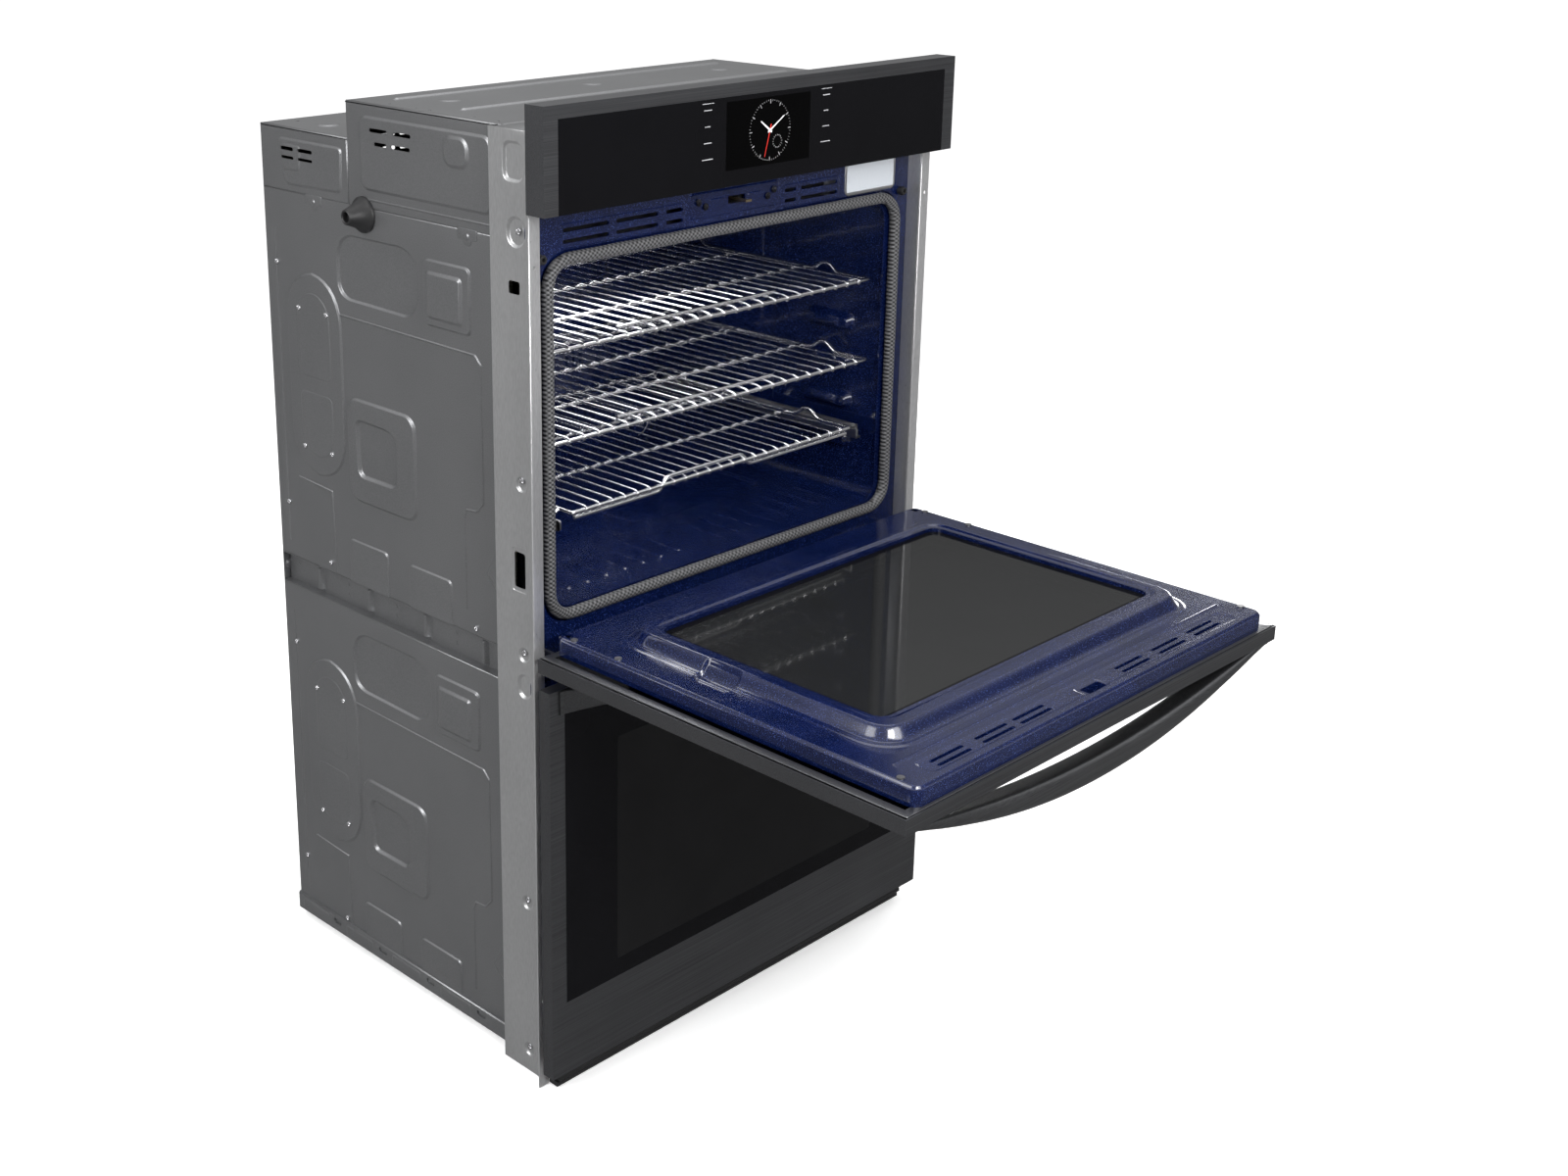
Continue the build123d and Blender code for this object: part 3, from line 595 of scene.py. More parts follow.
def wires(name, body, slot, paths, radius, look=None, sides=3):
    """Round wires that follow lists of points; all of them are one piece."""
    curve = bpy.data.curves.new(name, "CURVE")
    curve.dimensions = "3D"
    curve.bevel_depth = radius * MM
    curve.bevel_resolution = sides
    curve.use_fill_caps = True
    for path in paths:
        spline = curve.splines.new("POLY")
        spline.points.add(len(path) - 1)
        for point, place in zip(spline.points, path):
            point.co = (*[value * MM for value in place], 1.0)
    return finish_piece(bpy.data.objects.new(name, curve), body, slot, look)


def bent(corners, radius, steps=5):
    """An open path with rounded corners."""
    points = [np.array(corner, float) for corner in corners]
    path = [points[0]]
    for before, corner, after in zip(points, points[1:], points[2:]):
        back, ahead = before - corner, after - corner
        reach = min(radius, np.linalg.norm(back) * 0.49, np.linalg.norm(ahead) * 0.49)
        start = corner + back / np.linalg.norm(back) * reach
        end = corner + ahead / np.linalg.norm(ahead) * reach
        for step in range(steps + 1):
            t = step / steps
            path.append(start * (1 - t) ** 2 + corner * 2 * t * (1 - t) + end * t ** 2)
    path.append(points[-1])
    return path


def turned(name, body, slot, places, direction, profile, look=None, steps=20, cross=0.0):
    """The same turned shape at several places.

    profile is (radius, height) pairs from the rim to the middle, with height along
    direction.  cross is the half width of a cross recess pressed into the middle.
    """
    axis = np.array(direction, float)
    side = np.cross(axis, (0.0, 0.0, 1.0) if abs(axis[2]) < 0.9 else (0.0, 1.0, 0.0))
    side /= np.linalg.norm(side)
    other = np.cross(axis, side)
    points, polygons = [], []
    for place in places:
        start = len(points)
        for radius, height in profile:
            for step in range(steps):
                angle = 2 * math.pi * step / steps
                arm = math.cos(angle) * side + math.sin(angle) * other
                in_cross = cross and radius < cross * 2.4 and step % (steps // 4) in (0, 1, steps // 4 - 1)
                drop = 0.9 if in_cross else 0.0
                points.append(np.array(place, float) + arm * radius + axis * (height - drop))
        for ring in range(len(profile) - 1):
            for step in range(steps):
                a = start + ring * steps + step
                b = start + ring * steps + (step + 1) % steps
                polygons.append((a, b, b + steps, a + steps))
        last = start + (len(profile) - 1) * steps
        polygons.append(tuple(range(last, last + steps)))
    piece = mesh_piece(name, body, slot, points, polygons, None, look)
    piece.data.set_sharp_from_angle(angle=math.radians(38))
    return piece


SCREW = [(4.6, 0.0), (4.6, 1.0), (4.1, 1.9), (3.0, 2.3), (1.6, 2.4), (0.8, 2.4)]


# ---- casing ----------------------------------------------------------------------------


def side_shapes(back):
    """Shapes pressed into one side panel, as (y, z above the oven's base)."""
    junction = ((142, 237), (418, 506))
    pad = ((261, 412), (141, 290))
    return [
        Boss(rounded([(404, 512), (272, 513), (246, 492), (246, 446), (266, 419), (407, 421),
                      (424, 435), (424, 490)], 16), -3.4, 4),
        Boss(rect(*junction, 10), 3.0, 3.5),
        Boss(rect((junction[0][0] + 14, junction[0][1] - 8), (428, 492), 8), 3.2, 6),
        Boss(rect(*pad, 22), 3.4, 5),
        Boss(rounded([(394, 262), (318, 261), (300, 249), (302, 178), (390, 177)], 14), -4.4, 6),
        Boss(slot_loop((417, 543), (157, 447)), 2.6, 3.5),
        Boss(bead([(421, 399), (138, 396), (127, 385), (127, 204), (140, 190), (161, 188),
                   (165, 177), (165, 49)], 2.0), 1.5, 1.9, 4),
        Boss(bead([(536, 144), (456, 140), (451, 21)], 2.0), 1.5, 1.9, 4),
        Boss(rect((330, 419), (12, 83), 9), 2.4, 3),
        Boss(rect((193, 286), (12, 81), 9), 2.4, 3),
        Boss(rounded([(84, 187), (125, 109), (84, 72)], 5), 4.0, 9),
        Boss(bead([(564, 40), (564, 500)], 2.0), -0.8, 1.9, 4),
    ]


def side_panels():
    low_node, high_node = span("side_panels")
    back = high_node[1]
    for name, rise in RISES.items():
        low = rise + 1.2 if name == "lower" else rise + 18.0
        high = 540.0 if name == "lower" else SEAM_Z
        outline = rect((BODY_FRONT, back), (low - rise, high - rise), 0)
        for side, sign in (("left", -1.0), ("right", 1.0)):
            flat = facing("x", sign * SIDE_X, sign)

            def place(u, v, height, flat=flat, rise=rise):
                return flat(u, v + rise, height)

            press(f"side_{name}_{side}", "cabinet", "galvanised", place, outline,
                  side_shapes(back), roll=1.0)
    first = NODES["side_panels"]
    first.hide_render = first.hide_viewport = True
    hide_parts("side_panels")


def hood_side(y, z, shapes, holes, name):
    for side, sign in (("left", -1.0), ("right", 1.0)):
        press(f"{name}_{side}", "cabinet", "galvanised", facing("x", sign * SIDE_X, sign),
              rect(y, z, 0), shapes, holes, roll=1.6)


def vent_pair(first, second, z, tall=5.0):
    return [slot_loop(first, (z - tall / 2, z + tall / 2)),
            slot_loop(second, (z - tall / 2, z + tall / 2))]


def hoods():
    """The folded covers over the front and the rear of the casing."""
    front_y = (BODY_FRONT, STEP_Y)
    rear_y = (STEP_Y, BACK_Y - 1.2)
    hood_side(front_y, (SEAM_Z, TOP_Z), [
        Boss(rect((98, 361), (1143, 1241), 14), 2.4, 5),
        Boss(rect((138, 189), (1193, 1235), 16), 2.4, 6),
        Boss(rect((94, 130), (1134, 1160), 6), 0.0, 2),
        Boss(bead([(372, 1132), (96, 1132)], 2.0), 0.8, 1.9, 4),
    ], vent_pair((300, 337), (252, 288), 1223) + vent_pair((302, 328), (254, 293), 1206),
        "hood_front")
    hood_side(rear_y, (SEAM_Z, DECK_Z), [
        Boss(rounded([(547, 1194), (399, 1194), (404, 1131), (533, 1128)], 10), 2.2, 5),
        Boss(rounded([(540, 1186), (490, 1186), (494, 1150), (536, 1148)], 8), 1.2, 4),
    ], vent_pair((507, 536), (466, 497), 1179) + vent_pair((507, 536), (466, 497), 1167, 4.0),
        "hood_rear")
    top = facing("z", TOP_Z)
    ribs = [Boss(slot_loop((-300, 308), (y - 7, y + 7)), 2.6, 6) for y in (210, 346)]
    pads = [Boss(ring_loop((x, 290), 16), 1.6, 6) for x in (-250, 0, 250)]
    dots = [ring_loop((-326, y), 2.2, 10) for y in (104, 150, 236, 262, 318)]
    dots += [ring_loop((x, 96), 2.0, 10) for x in (-220, -60, 90, 240)]
    press("hood_front_top", "cabinet", "galvanised", top,
          rect((-SIDE_X, SIDE_X), front_y, 0), ribs + pads, dots, roll=1.6)
    deck_shapes = [
        Boss(slot_loop((-290, 300), (404, 420)), 2.0, 5),
        Boss(rect((-240, -60), (446, 540), 14), 1.8, 5),
        Boss(rect((20, 240), (446, 540), 14), 1.8, 5),
        Boss(ring_loop((290, 500), 18), 2.0, 6),
        Boss(ring_loop((-292, 500), 18), 2.0, 6),
    ]
    press("hood_rear_top", "cabinet", "galvanised", facing("z", DECK_Z),
          rect((-SIDE_X, SIDE_X), rear_y, 0), deck_shapes,
          [ring_loop((x, 560), 2.5, 10) for x in (-300, -150, 0, 150, 300)], roll=1.6)
    press("hood_step", "cabinet", "galvanised", facing("y", STEP_Y),
          rect((-SIDE_X + 1, SIDE_X - 1), (DECK_Z, TOP_Z - 1), 0), [
              Boss(rect((-280, -40), (DECK_Z + 10, TOP_Z - 12), 8), 1.6, 4),
              Boss(rect((40, 280), (DECK_Z + 10, TOP_Z - 12), 8), 1.6, 4)], roll=0.8)
    front_sheet = press("hood_front_sheet", "cabinet", "galvanised", top,
                        rect((-FRAME_X, FRAME_X), (FRAME_Y + 1.5, BODY_FRONT), 0), roll=0.4)
    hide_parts("top_cover")
    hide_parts("rear_deck_cover")


def seam_clips():
    """Folded tabs that lock the hoods to the side panels."""
    for label, sign in (("left", -1.0), ("right", 1.0)):
        for index, y in enumerate((470, 148)):
            press(f"seam_clip_{label}_{index}", "cabinet", "galvanised",
                  facing("x", sign * (SIDE_X + 0.6), sign),
                  rounded([(y - 19, 1122), (y - 19, 1108), (y - 7, 1108), (y - 7, 1101),
                           (y + 7, 1101), (y + 7, 1108), (y + 19, 1108), (y + 19, 1122)], 3, 3),
                  [Boss(ring_loop((y, 1112), 5), 1.2, 3)], roll=0.5)


def back_panel():
    place = facing("y", BACK_Y)
    shapes, holes = [], []
    for rise in RISES.values():
        shapes += [Boss(rect((-250, 250), (92 + rise, 496 + rise), 40), -3.2, 9),
                   Boss(ring_loop((0, 302 + rise), 92, 48), -3.2, 9),
                   Boss(rect((-225, -150), (150 + rise, 450 + rise), 16), 2.0, 6),
                   Boss(rect((150, 225), (150 + rise, 450 + rise), 16), 2.0, 6),
                   Boss(bead([(-300, 60 + rise), (300, 60 + rise)], 5), -1.8, 4, 4)]
        for turn in range(12):
            angle = 2 * math.pi * turn / 12
            holes.append(ring_loop((56 * math.cos(angle), 302 + rise + 56 * math.sin(angle)), 5, 12))
    for column in range(9):
        x = -128 + 32 * column
        holes.append(slot_loop((x - 12, x + 12), (1146, 1152)))
        holes.append(slot_loop((x - 12, x + 12), (1166, 1172)))
    shapes.append(Boss(rect((-160, 160), (1134, 1184), 10), -2.0, 5))
    shapes.append(Boss(rect((218, 320), (1120, 1188), 8), -2.6, 5))
    spots = [(x, z) for x in (-332, 0, 332) for z in (20, 300, 562, 870, 1100, 1195)]
    shapes += [Boss(ring_loop(spot, 8, 16), -2.4, 3) for spot in spots]
    sheet = press("back_sheet", "cabinet", "galvanised", place,
                  rect((-SIDE_X, SIDE_X), (1.2, DECK_Z), 0), shapes, holes, roll=1.2)
    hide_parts("back_panel")
    turned("back_screws", "cabinet", "bright_screw",
           [(x, BACK_Y - 3.0, z) for x, z in spots], (0, 1, 0), SCREW, cross=1.2)


def mid_rails():
    """The recessed channels between the side panels, with short ribs and small holes."""
    inner = SIDE_X - 12.0
    for label, sign in (("left", -1.0), ("right", 1.0)):
        shapes = [Boss(rect((y - 7, y + 7), (543, 583), 5), 7.5, 6) for y in (140, 262, 388, 505)]
        holes = [ring_loop((y, z), 3.2, 12) for y in (110, 200, 330, 440, 560) for z in (556, 571)]
        press(f"mid_rail_{label}", "cabinet", "galvanised",
              facing("x", sign * (inner + 0.4), sign),
              rect((BODY_FRONT + 8, BACK_Y - 1.4), (541, 585), 0), shapes, holes)


def base_flanges():
    low, high = span("base_pan")
    for label, sign in (("left", -1.0), ("right", 1.0)):
        notches = [rect((y - 9, y + 9), (14, 22), 3) for y in (150, 262, 374, 486)]
        shapes = [Boss(rect((y - 34, y + 34), (4, 24), 5), 1.0, 3) for y in (206, 318, 430, 540)]
        press(f"base_flange_{label}", "cabinet", "galvanised",
              facing("x", sign * (high[0] + 3.4), sign),
              rect((BODY_FRONT + 8, BACK_Y), (0.2, 27.8), 0), shapes, notches, roll=2.2, edge=3.6)


def access_covers():
    for name, rise in RISES.items():
        for label, sign in (("left", -1.0), ("right", 1.0)):
            outline = slot_loop((424, 536), (164, 440))

            def place(u, v, height, flat=facing("x", sign * (SIDE_X + 1.8), sign), rise=rise):
                return flat(u, v + rise, height)

            shapes = [
                Boss(rounded([(440, 296), (440, 392), (452, 414), (480, 424), (508, 414),
                              (520, 392), (520, 296)], 12), 1.4, 5),
                Boss(rounded([(440, 280), (520, 280), (520, 212), (508, 190), (480, 180),
                              (452, 190), (440, 212)], 12), 1.4, 5),
            ]
            cover = press(f"access_cover_{name}_{label}", "cabinet", "galvanised", place,
                          outline, shapes, roll=0.8)
    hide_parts("side_access_covers")


def casing_screws():
    """Screws on the casing's sides, mirrored to the right."""
    spots = [(563, 450), (563, 99), (466, 32), (147, 28), (513, 393), (449, 393), (513, 195),
             (449, 196), (176, 500)]
    for label, sign in (("left", -1.0), ("right", 1.0)):
        places = [(sign * (SIDE_X + (2.4 if 430 < y < 530 and z > 100 else 0.2)), y, z + rise)
                  for y, z in spots for rise in RISES.values() if 30 < z + rise]
        turned(f"casing_screws_{label}", "cabinet", "bright_screw", places, (sign, 0, 0),
               [(r * 0.85, h * 0.9) for r, h in SCREW], cross=1.1)


def side_trims():
    """Mounting strips: a front flange and a side face with pressed pockets; the flange wears a lighter copy of the
    trim steel as a painted highlight.
    """
    low, high = span("side_trims")
    z = (low[2], high[2])
    face = -low[0] - 374.0 + 358.0
    for label, sign in (("left", -1.0), ("right", 1.0)):
        holes = [rect((32, 52), (686, 733), 3), rect((34, 54), (1060, 1076), 3)]
        shapes = [Boss(rect((25, 63), (1193, 1243), 12), -3.4, 5),
                  Boss(slot_loop((22, 58), (1115, 1155)), -3.2, 5),
                  Boss(slot_loop((22, 50), (536, 572)), -3.2, 5),
                  Boss(rect((28, 56), (680, 739), 4), -1.0, 2)]
        shapes += [Boss(ring_loop((36, spot), 11, 24), -2.6, 4) for spot in (24, 246, 597, 823)]
        press(f"trim_face_{label}", "cabinet", "trim_steel", facing("x", sign * 358.0, sign),
              rect((0, BODY_FRONT + 8), z, 0), shapes, holes, roll=0.8)
        slots = [ring_loop((sign * 366, height), 2.5, 14) for height in (120, 1100)]
        # The front flange takes the lighter trim copy: a painted highlight.
        press(f"trim_flange_{label}", "cabinet", "trim_steel", facing("y", -2.0, -1.0),
              rect((sign * 365.4 - 8.6, sign * 365.4 + 8.6), z, 0), holes=slots, roll=0.5,
              look="trim_painted_highlight")
        press(f"trim_return_{label}", "cabinet", "trim_steel", facing("y", BODY_FRONT + 8.0),
              rect((sign * 350.5 - 7.2, sign * 350.5 + 7.2), z, 0), roll=0.5)
        # The inner face also takes the lighter trim copy: a painted highlight.
        inner = press(f"trim_inner_{label}", "cabinet", "trim_steel",
                      facing("x", sign * 356.8, -sign), rect((0, FRAME_Y), z, 0),
                      look="trim_painted_highlight")
    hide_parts("side_trims")
    for label, sign in (("left", -1.0), ("right", 1.0)):
        screws = turned(f"trim_screws_{label}", "cabinet", "bright_screw",
                        [(sign * 356.6, 36, height) for height in (28, 250, 600, 828, 1136)],
                        (sign, 0, 0), SCREW, cross=1.3)
    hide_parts("trim_screws")


def grommet():
    low, high = span("side_grommet")
    centre = ((low[0] + high[0]) / 2, (low[1] + high[1]) / 2, (low[2] + high[2]) / 2)
    profile = [(24, 0), (24, 3), (22.5, 5), (19, 8), (14.5, 17), (11.5, 25), (10.2, 29),
               (8.4, 30), (6.8, 29), (6.2, 22)]
    cone = turned("cable_cone", "cabinet", "rubber", [(high[0], centre[1], centre[2])],
                  (-1, 0, 0), profile, steps=40)
    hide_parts("side_grommet")


# ---- ovens -----------------------------------------------------------------------------


def front_sheets():
    """Enamelled sheets around the mouths, with vents, embossed latch plates and holes."""
    gasket_low, gasket_high = span("gaskets")
    half = gasket_high[0] + 1.6
    for name, z in (("upper", (576.0, TOP_Z - 1.2)), ("lower", (1.2, 574.0))):
        rise = RISES[name]
        mouth = rect((-half, half), (64 + rise, 540 + rise), 40, 8)
        latch = span(f"{name}_latch_hook")
        latch_z = (latch[0][2] + latch[1][2]) / 2
        holes = [mouth, rect((-14, 18), (latch_z - 5.5, latch_z + 5.5), 2)]
        hinge_z = HINGES[name][2]
        holes += [rect((sign * 342 - 4, sign * 342 + 4), (hinge_z - 9, hinge_z + 9), 1.5)
                  for sign in (-1, 1)]
        shapes = [Boss(rect((-86, 86), (latch_z - 19, latch_z + 17), 9), 1.4, 4)]
        if name == "upper":
            groups = ((-300, -224), (-212, -140), (-126, -96), (96, 118), (128, 202))
            holes += [slot_loop(x, (row - 2.5, row + 2.5)) for row in (1118, 1132) for x in groups
                      if abs(x[0]) > 90]
            drawer = span("reservoir_tank")
            holes.append(rect((drawer[0][0] - 1.5, drawer[1][0] + 1.5),
                              (drawer[0][2] - 0.5, drawer[1][2] + 0.5), 3))
            shapes.append(Boss(rect((-308, -92), (1108, 1141), 8), 0.8, 3))
            shapes.append(Boss(rect((90, 208), (1108, 1141), 8), 0.8, 3))
        sheet = press(f"{name}_front_sheet", "cabinet", "blue_enamel",
                      facing("y", FRAME_Y, -1.0), rect((-FRAME_X, FRAME_X), z, 0), shapes,
                      holes, roll=0.4, edge=3.0)
        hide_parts(f"{name}_front_frame")
        plate = press(f"{name}_latch_plate", "cabinet", "blue_enamel",
                      facing("y", FRAME_Y - 1.3, -1.0),
                      rect((-80, 80), (latch_z - 9, latch_z + 9), 6),
                      [Boss(rect((22, 50), (latch_z - 6, latch_z + 6), 4), 0.8, 2),
                       Boss(rect((-50, -22), (latch_z - 6, latch_z + 6), 4), 0.8, 2)],
                      [rect((-14, 18), (latch_z - 5, latch_z + 5), 2)], roll=0.8)
        turned(f"{name}_latch_screws", "cabinet", "bright_screw",
               [(x, FRAME_Y - 2.2, latch_z + dz)
                for x, dz in ((-70, 4), (-57, -3), (60, -3), (72, 4))],
               (0, -1, 0), SCREW, look="black_screw", cross=1.2)
        lip = press(f"{name}_mouth_lip", "cabinet", "blue_enamel",
                    facing("y", 27.0, -1.0), rect((-half - 1.2, half + 1.2),
                                                  (62.8 + rise, 541.2 + rise), 41, 8),
                    holes=[mouth])
        del lip
    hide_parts("latch_plates")
    # A near-black sheet behind the vent slots and the drawer opening: painted shade for the dark inside.
    shade_cover = press("front_painted_shade", "cabinet", "black_plastic", facing("y", 60.0, -1.0),
                        rect((-338, 338), (1100, TOP_Z - 4), 4), look="painted_shade_black")
    del shade_cover


def tub_wrap(rise):
    """Wraps a sheet around a cavity: u runs round it from the middle of the floor."""
    half, low, high, corner = 318.0, 78.0 + rise, 526.0 + rise, 25.0
    arc = corner * math.pi / 2
    runs = [half - corner, arc, high - low - 2 * corner, arc, 2 * (half - corner), arc,
            high - low - 2 * corner, arc, half - corner]
    starts = np.concatenate([[0.0], np.cumsum(runs)])
    centres = [(half - corner, low + corner), (half - corner, high - corner),
               (-half + corner, high - corner), (-half + corner, low + corner)]

    def place(u, v, height):
        x, z = np.zeros(len(u)), np.zeros(len(u))
        along = [(0.0, low, 1, 0), (half, low + corner, 0, 1), (half - corner, high, -1, 0),
                 (-half, high - corner, 0, -1), (-half + corner, low, 1, 0)]
        inward = [(0, 1), (-1, 0), (0, -1), (1, 0), (0, 1)]
        for index in range(5):
            at = starts[2 * index]
            mask = (u >= at - (1 if index == 0 else 0)) & (u <= starts[2 * index + 1] + (index == 4))
            t = u[mask] - at
            x0, z0, dx, dz = along[index]
            x[mask] = x0 + dx * t + inward[index][0] * height[mask]
            z[mask] = z0 + dz * t + inward[index][1] * height[mask]
        for index in range(4):
            mask = (u > starts[2 * index + 1]) & (u < starts[2 * index + 2])
            angle = (u[mask] - starts[2 * index + 1]) / corner - math.pi / 2 + index * math.pi / 2
            reach = corner - height[mask]
            x[mask] = centres[index][0] + reach * np.cos(angle)
            z[mask] = centres[index][1] + reach * np.sin(angle)
        return np.stack([x, v, z], 1)

    return place, starts


def wall_shapes(start, flip):
    """Pressed rack supports on a cavity's side wall, where u grows from start upwards."""
    shapes = []
    for index, level in enumerate((172, 231, 289, 348, 407)):
        at = level - 78 - 25
        for y in (120, 372):
            low = at - 26 if not flip else 398 - at - 2
            u = (start + low, start + low + 30)
            shapes.append(Boss(rect(u, (y - 46, y + 46), 14), 13.0, 9))
            shapes.append(Boss(rect((u[0] + 7, u[1] - 7), (y - 26, y + 26), 8), 4.0, 7))
    shapes.append(Boss(slot_loop((start + 20, start + 378), (228, 262)), -1.8, 7))
    return shapes


def cavities():
    mouth_y, back = 28.5, 500.0
    for name, rise in RISES.items():
        place, starts = tub_wrap(rise)
        total = starts[-1]
        shapes = wall_shapes(starts[2], False) + wall_shapes(starts[6], True)
        ribs = [Boss(slot_loop((x - 6, x + 6), (70, 150)), 2.2, 5) for x in range(40, 280, 34)]
        ribs += [Boss(slot_loop((total - x - 6, total - x + 6), (70, 150)), 2.2, 5)
                 for x in range(40, 280, 34)]
        ribs += [Boss(rect((-1, 262), (190, 450), 26), -4.0, 9),
                 Boss(rect((total - 262, total + 1), (190, 450), 26), -4.0, 9)]
        lines = []
        for index in range(4):
            for u in np.linspace(starts[2 * index + 1], starts[2 * index + 2], 9):
                lines.append([(u, mouth_y), (u, back)])
        press(f"{name}_tub", "cabinet", "blue_enamel", place,
              rect((0.0, total), (mouth_y, back), 0), shapes + ribs, lines=lines, edge=0.0)
        wall = press(f"{name}_tub_back", "cabinet", "blue_enamel",
                     facing("y", back, -1.0),
                     rect((-318, 318), (78 + rise, 526 + rise), 25, 8), [
                         Boss(rect((-205, 205), (150 + rise, 454 + rise), 30), 3.0, 8),
                         Boss(rect((-290, -220), (130 + rise, 470 + rise), 20), 2.5, 7),
                         Boss(rect((220, 290), (130 + rise, 470 + rise), 20), 2.5, 7)])
        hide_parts(f"{name}_cavity")
        seat = rect((-338, 338), (64 + rise, 540 + rise), 38, 8)
        mouth = rect((-313, 313), (82 + rise, 522 + rise), 25, 8)
        press(f"{name}_mouth_rim", "cabinet", "blue_enamel", facing("y", 27.0, -1.0), seat,
              [Boss(inset(mouth, -3.4), 1.2, 2.4)], [mouth], edge=2.0)
        ledge_rods(name, rise)
        fan_cover(name, rise)


def ledge_rods(name, rise):
    """Paths of upright rods for chrome ladder racks on both walls that carry the shelves; the function only
    returns them and makes no piece.
    """
    paths = []
    for sign in (-1, 1):
        x = sign * 304
        for y in (62, 438):
            paths.append([(x, y, 130 + rise), (x, y, 440 + rise)])
    return paths


def fan_cover(name, rise):
    centre = 302 + rise
    holes = []
    for ring, count in ((14, 6), (28, 12), (42, 18), (56, 24)):
        for turn in range(count):
            angle = 2 * math.pi * turn / count
            holes.append(ring_loop((ring * math.cos(angle), centre + ring * math.sin(angle)), 3.2, 10))
    for turn in range(3):
        u = 92 + 14 * turn
        holes += [slot_loop((u, u + 5), (centre - 70, centre + 70)),
                  slot_loop((-u - 5, -u), (centre - 70, centre + 70))]
    dish = rect((-160, 160), (centre - 125, centre + 125), 30, 8)
    cover = press(f"{name}_fan_cover", "cabinet", "blue_enamel", facing("y", 466.0, -1.0), dish, [
        Boss(inset(dish, 1.0), 14.0, 14), Boss(ring_loop((0, centre), 72, 48), -2.5, 6)],
        holes, edge=30.0)
    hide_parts("fan_covers")
    turned(f"{name}_cover_screws", "cabinet", "bright_screw",
           [(x, 452.5, centre + z) for x in (-138, 138) for z in (-104, 104)], (0, -1, 0), SCREW,
           cross=1.2)


def gaskets():
    """Braided sleeves around the mouths, slightly uneven along their length."""
    low, high = span("gaskets")
    y = (low[1] + high[1]) / 2
    radius = (high[1] - low[1]) / 2
    half = high[0] - radius
    for name, rise in RISES.items():
        loop = rect((-half, half), (low[2] + radius + rise, 530 + rise), 34, 10)
        tube = sleeve(f"{name}_gasket", loop, y, radius - 0.2)
    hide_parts("gaskets")


def sleeve(name, loop, y, radius, around=20):
    """A tube along a closed outline that faces the front, with a join at the bottom."""
    points, count = [], 0
    dense = []
    for a, b in zip(loop, np.roll(loop, -1, 0)):
        parts = max(1, int(np.linalg.norm(b - a) / 9))
        dense += [a + (b - a) * step / parts for step in range(parts)]
    dense = np.array(dense)
    ahead = np.roll(dense, -1, 0) - np.roll(dense, 1, 0)
    ahead /= np.maximum(np.linalg.norm(ahead, axis=1), 1e-9)[:, None]
    for index, (point, run) in enumerate(zip(dense, ahead)):
        swell = radius * (1.0 - 0.025 * (1 + math.sin(index * 0.9)) / 2)
        for step in range(around):
            angle = 2 * math.pi * step / around
            out = math.cos(angle) * swell
            points.append((point[0] + run[1] * out, y - math.sin(angle) * swell,
                           point[1] - run[0] * out))
    count = len(dense)
    faces = []
    for ring in range(count):
        for step in range(around):
            a = ring * around + step
            b = ring * around + (step + 1) % around
            c = ((ring + 1) % count) * around
            faces.append((a, c + step, c + (step + 1) % around, b))
    return mesh_piece(name, "cabinet", "gasket", points, faces)


def bumpers():
    low, high = span("front_bumpers")
    profile = [(5.6, 0), (6.0, 3), (6.0, 8), (5.4, 9.6), (4.2, 10), (2.6, 9.6), (2.2, 7), (2.2, 4)]
    ring = turned("mouth_bumpers", "cabinet", "rubber",
                  [(sign * 338.5, FRAME_Y, 535 + rise) for sign in (-1, 1)
                   for rise in RISES.values()], (0, -1, 0), profile, steps=28)
    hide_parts("front_bumpers")


# ---- racks -----------------------------------------------------------------------------


def rack_wires(name, body, half, y, z, glide=False):
    """A wire rack: heavy frame rods, cross rods and thin wires that hook over the front."""
    front, back = y
    stop = 26.0
    heavy = []
    for sign in (-1, 1):
        x = sign * half
        side = [(x, front + 6, z), (x, front + 60, z), (x, front + 74, z + 12),
                (x, front + 88, z + 12), (x, front + 102, z), (x, back - stop - 60, z),
                (x, back - stop - 40, z + 16), (x, back - stop, z + 16), (x, back - 4, z)]
        heavy.append(bent(side, 9))
    heavy.append(bent([(-half, front + 8, z), (-half, front, z), (half, front, z),
                       (half, front + 8, z)], 8))
    heavy.append(bent([(-half, back - 8, z), (-half, back, z), (half, back, z),
                       (half, back - 8, z)], 8))
    if glide:
        heavy.append(bent([(-half + 6, front + 3, z - 8), (-112, front + 3, z - 8),
                           (-100, front + 3, z + 9), (46, front + 3, z + 9),
                           (58, front + 3, z - 8), (half - 6, front + 3, z - 8)], 8))
    else:
        heavy.append([(-178, front + 16, z + 8), (118, front + 16, z + 8)])
    for share in (0.30, 0.62, 0.90):
        at = front + (back - front) * share
        heavy.append([(-half, at, z - 0.5), (half, at, z - 0.5)])
    frame_piece = wires(f"{name}_frame", body, "chrome", heavy, 2.9)
    thin = []
    count = 23
    for index in range(count):
        x = -half + 2 * half * (index + 1) / (count + 1)
        thin.append(bent([(x, front - 1.5, z - 3.4), (x, front - 3.6, z + 2.0),
                          (x, front + 3, z + 4.2), (x, back - 2, z + 4.2),
                          (x, back + 3.2, z + 2.0), (x, back + 2.0, z - 3.0)], 4, 3))
    wires(f"{name}_wires", body, "chrome", thin, 1.7, sides=2)
    return frame_piece


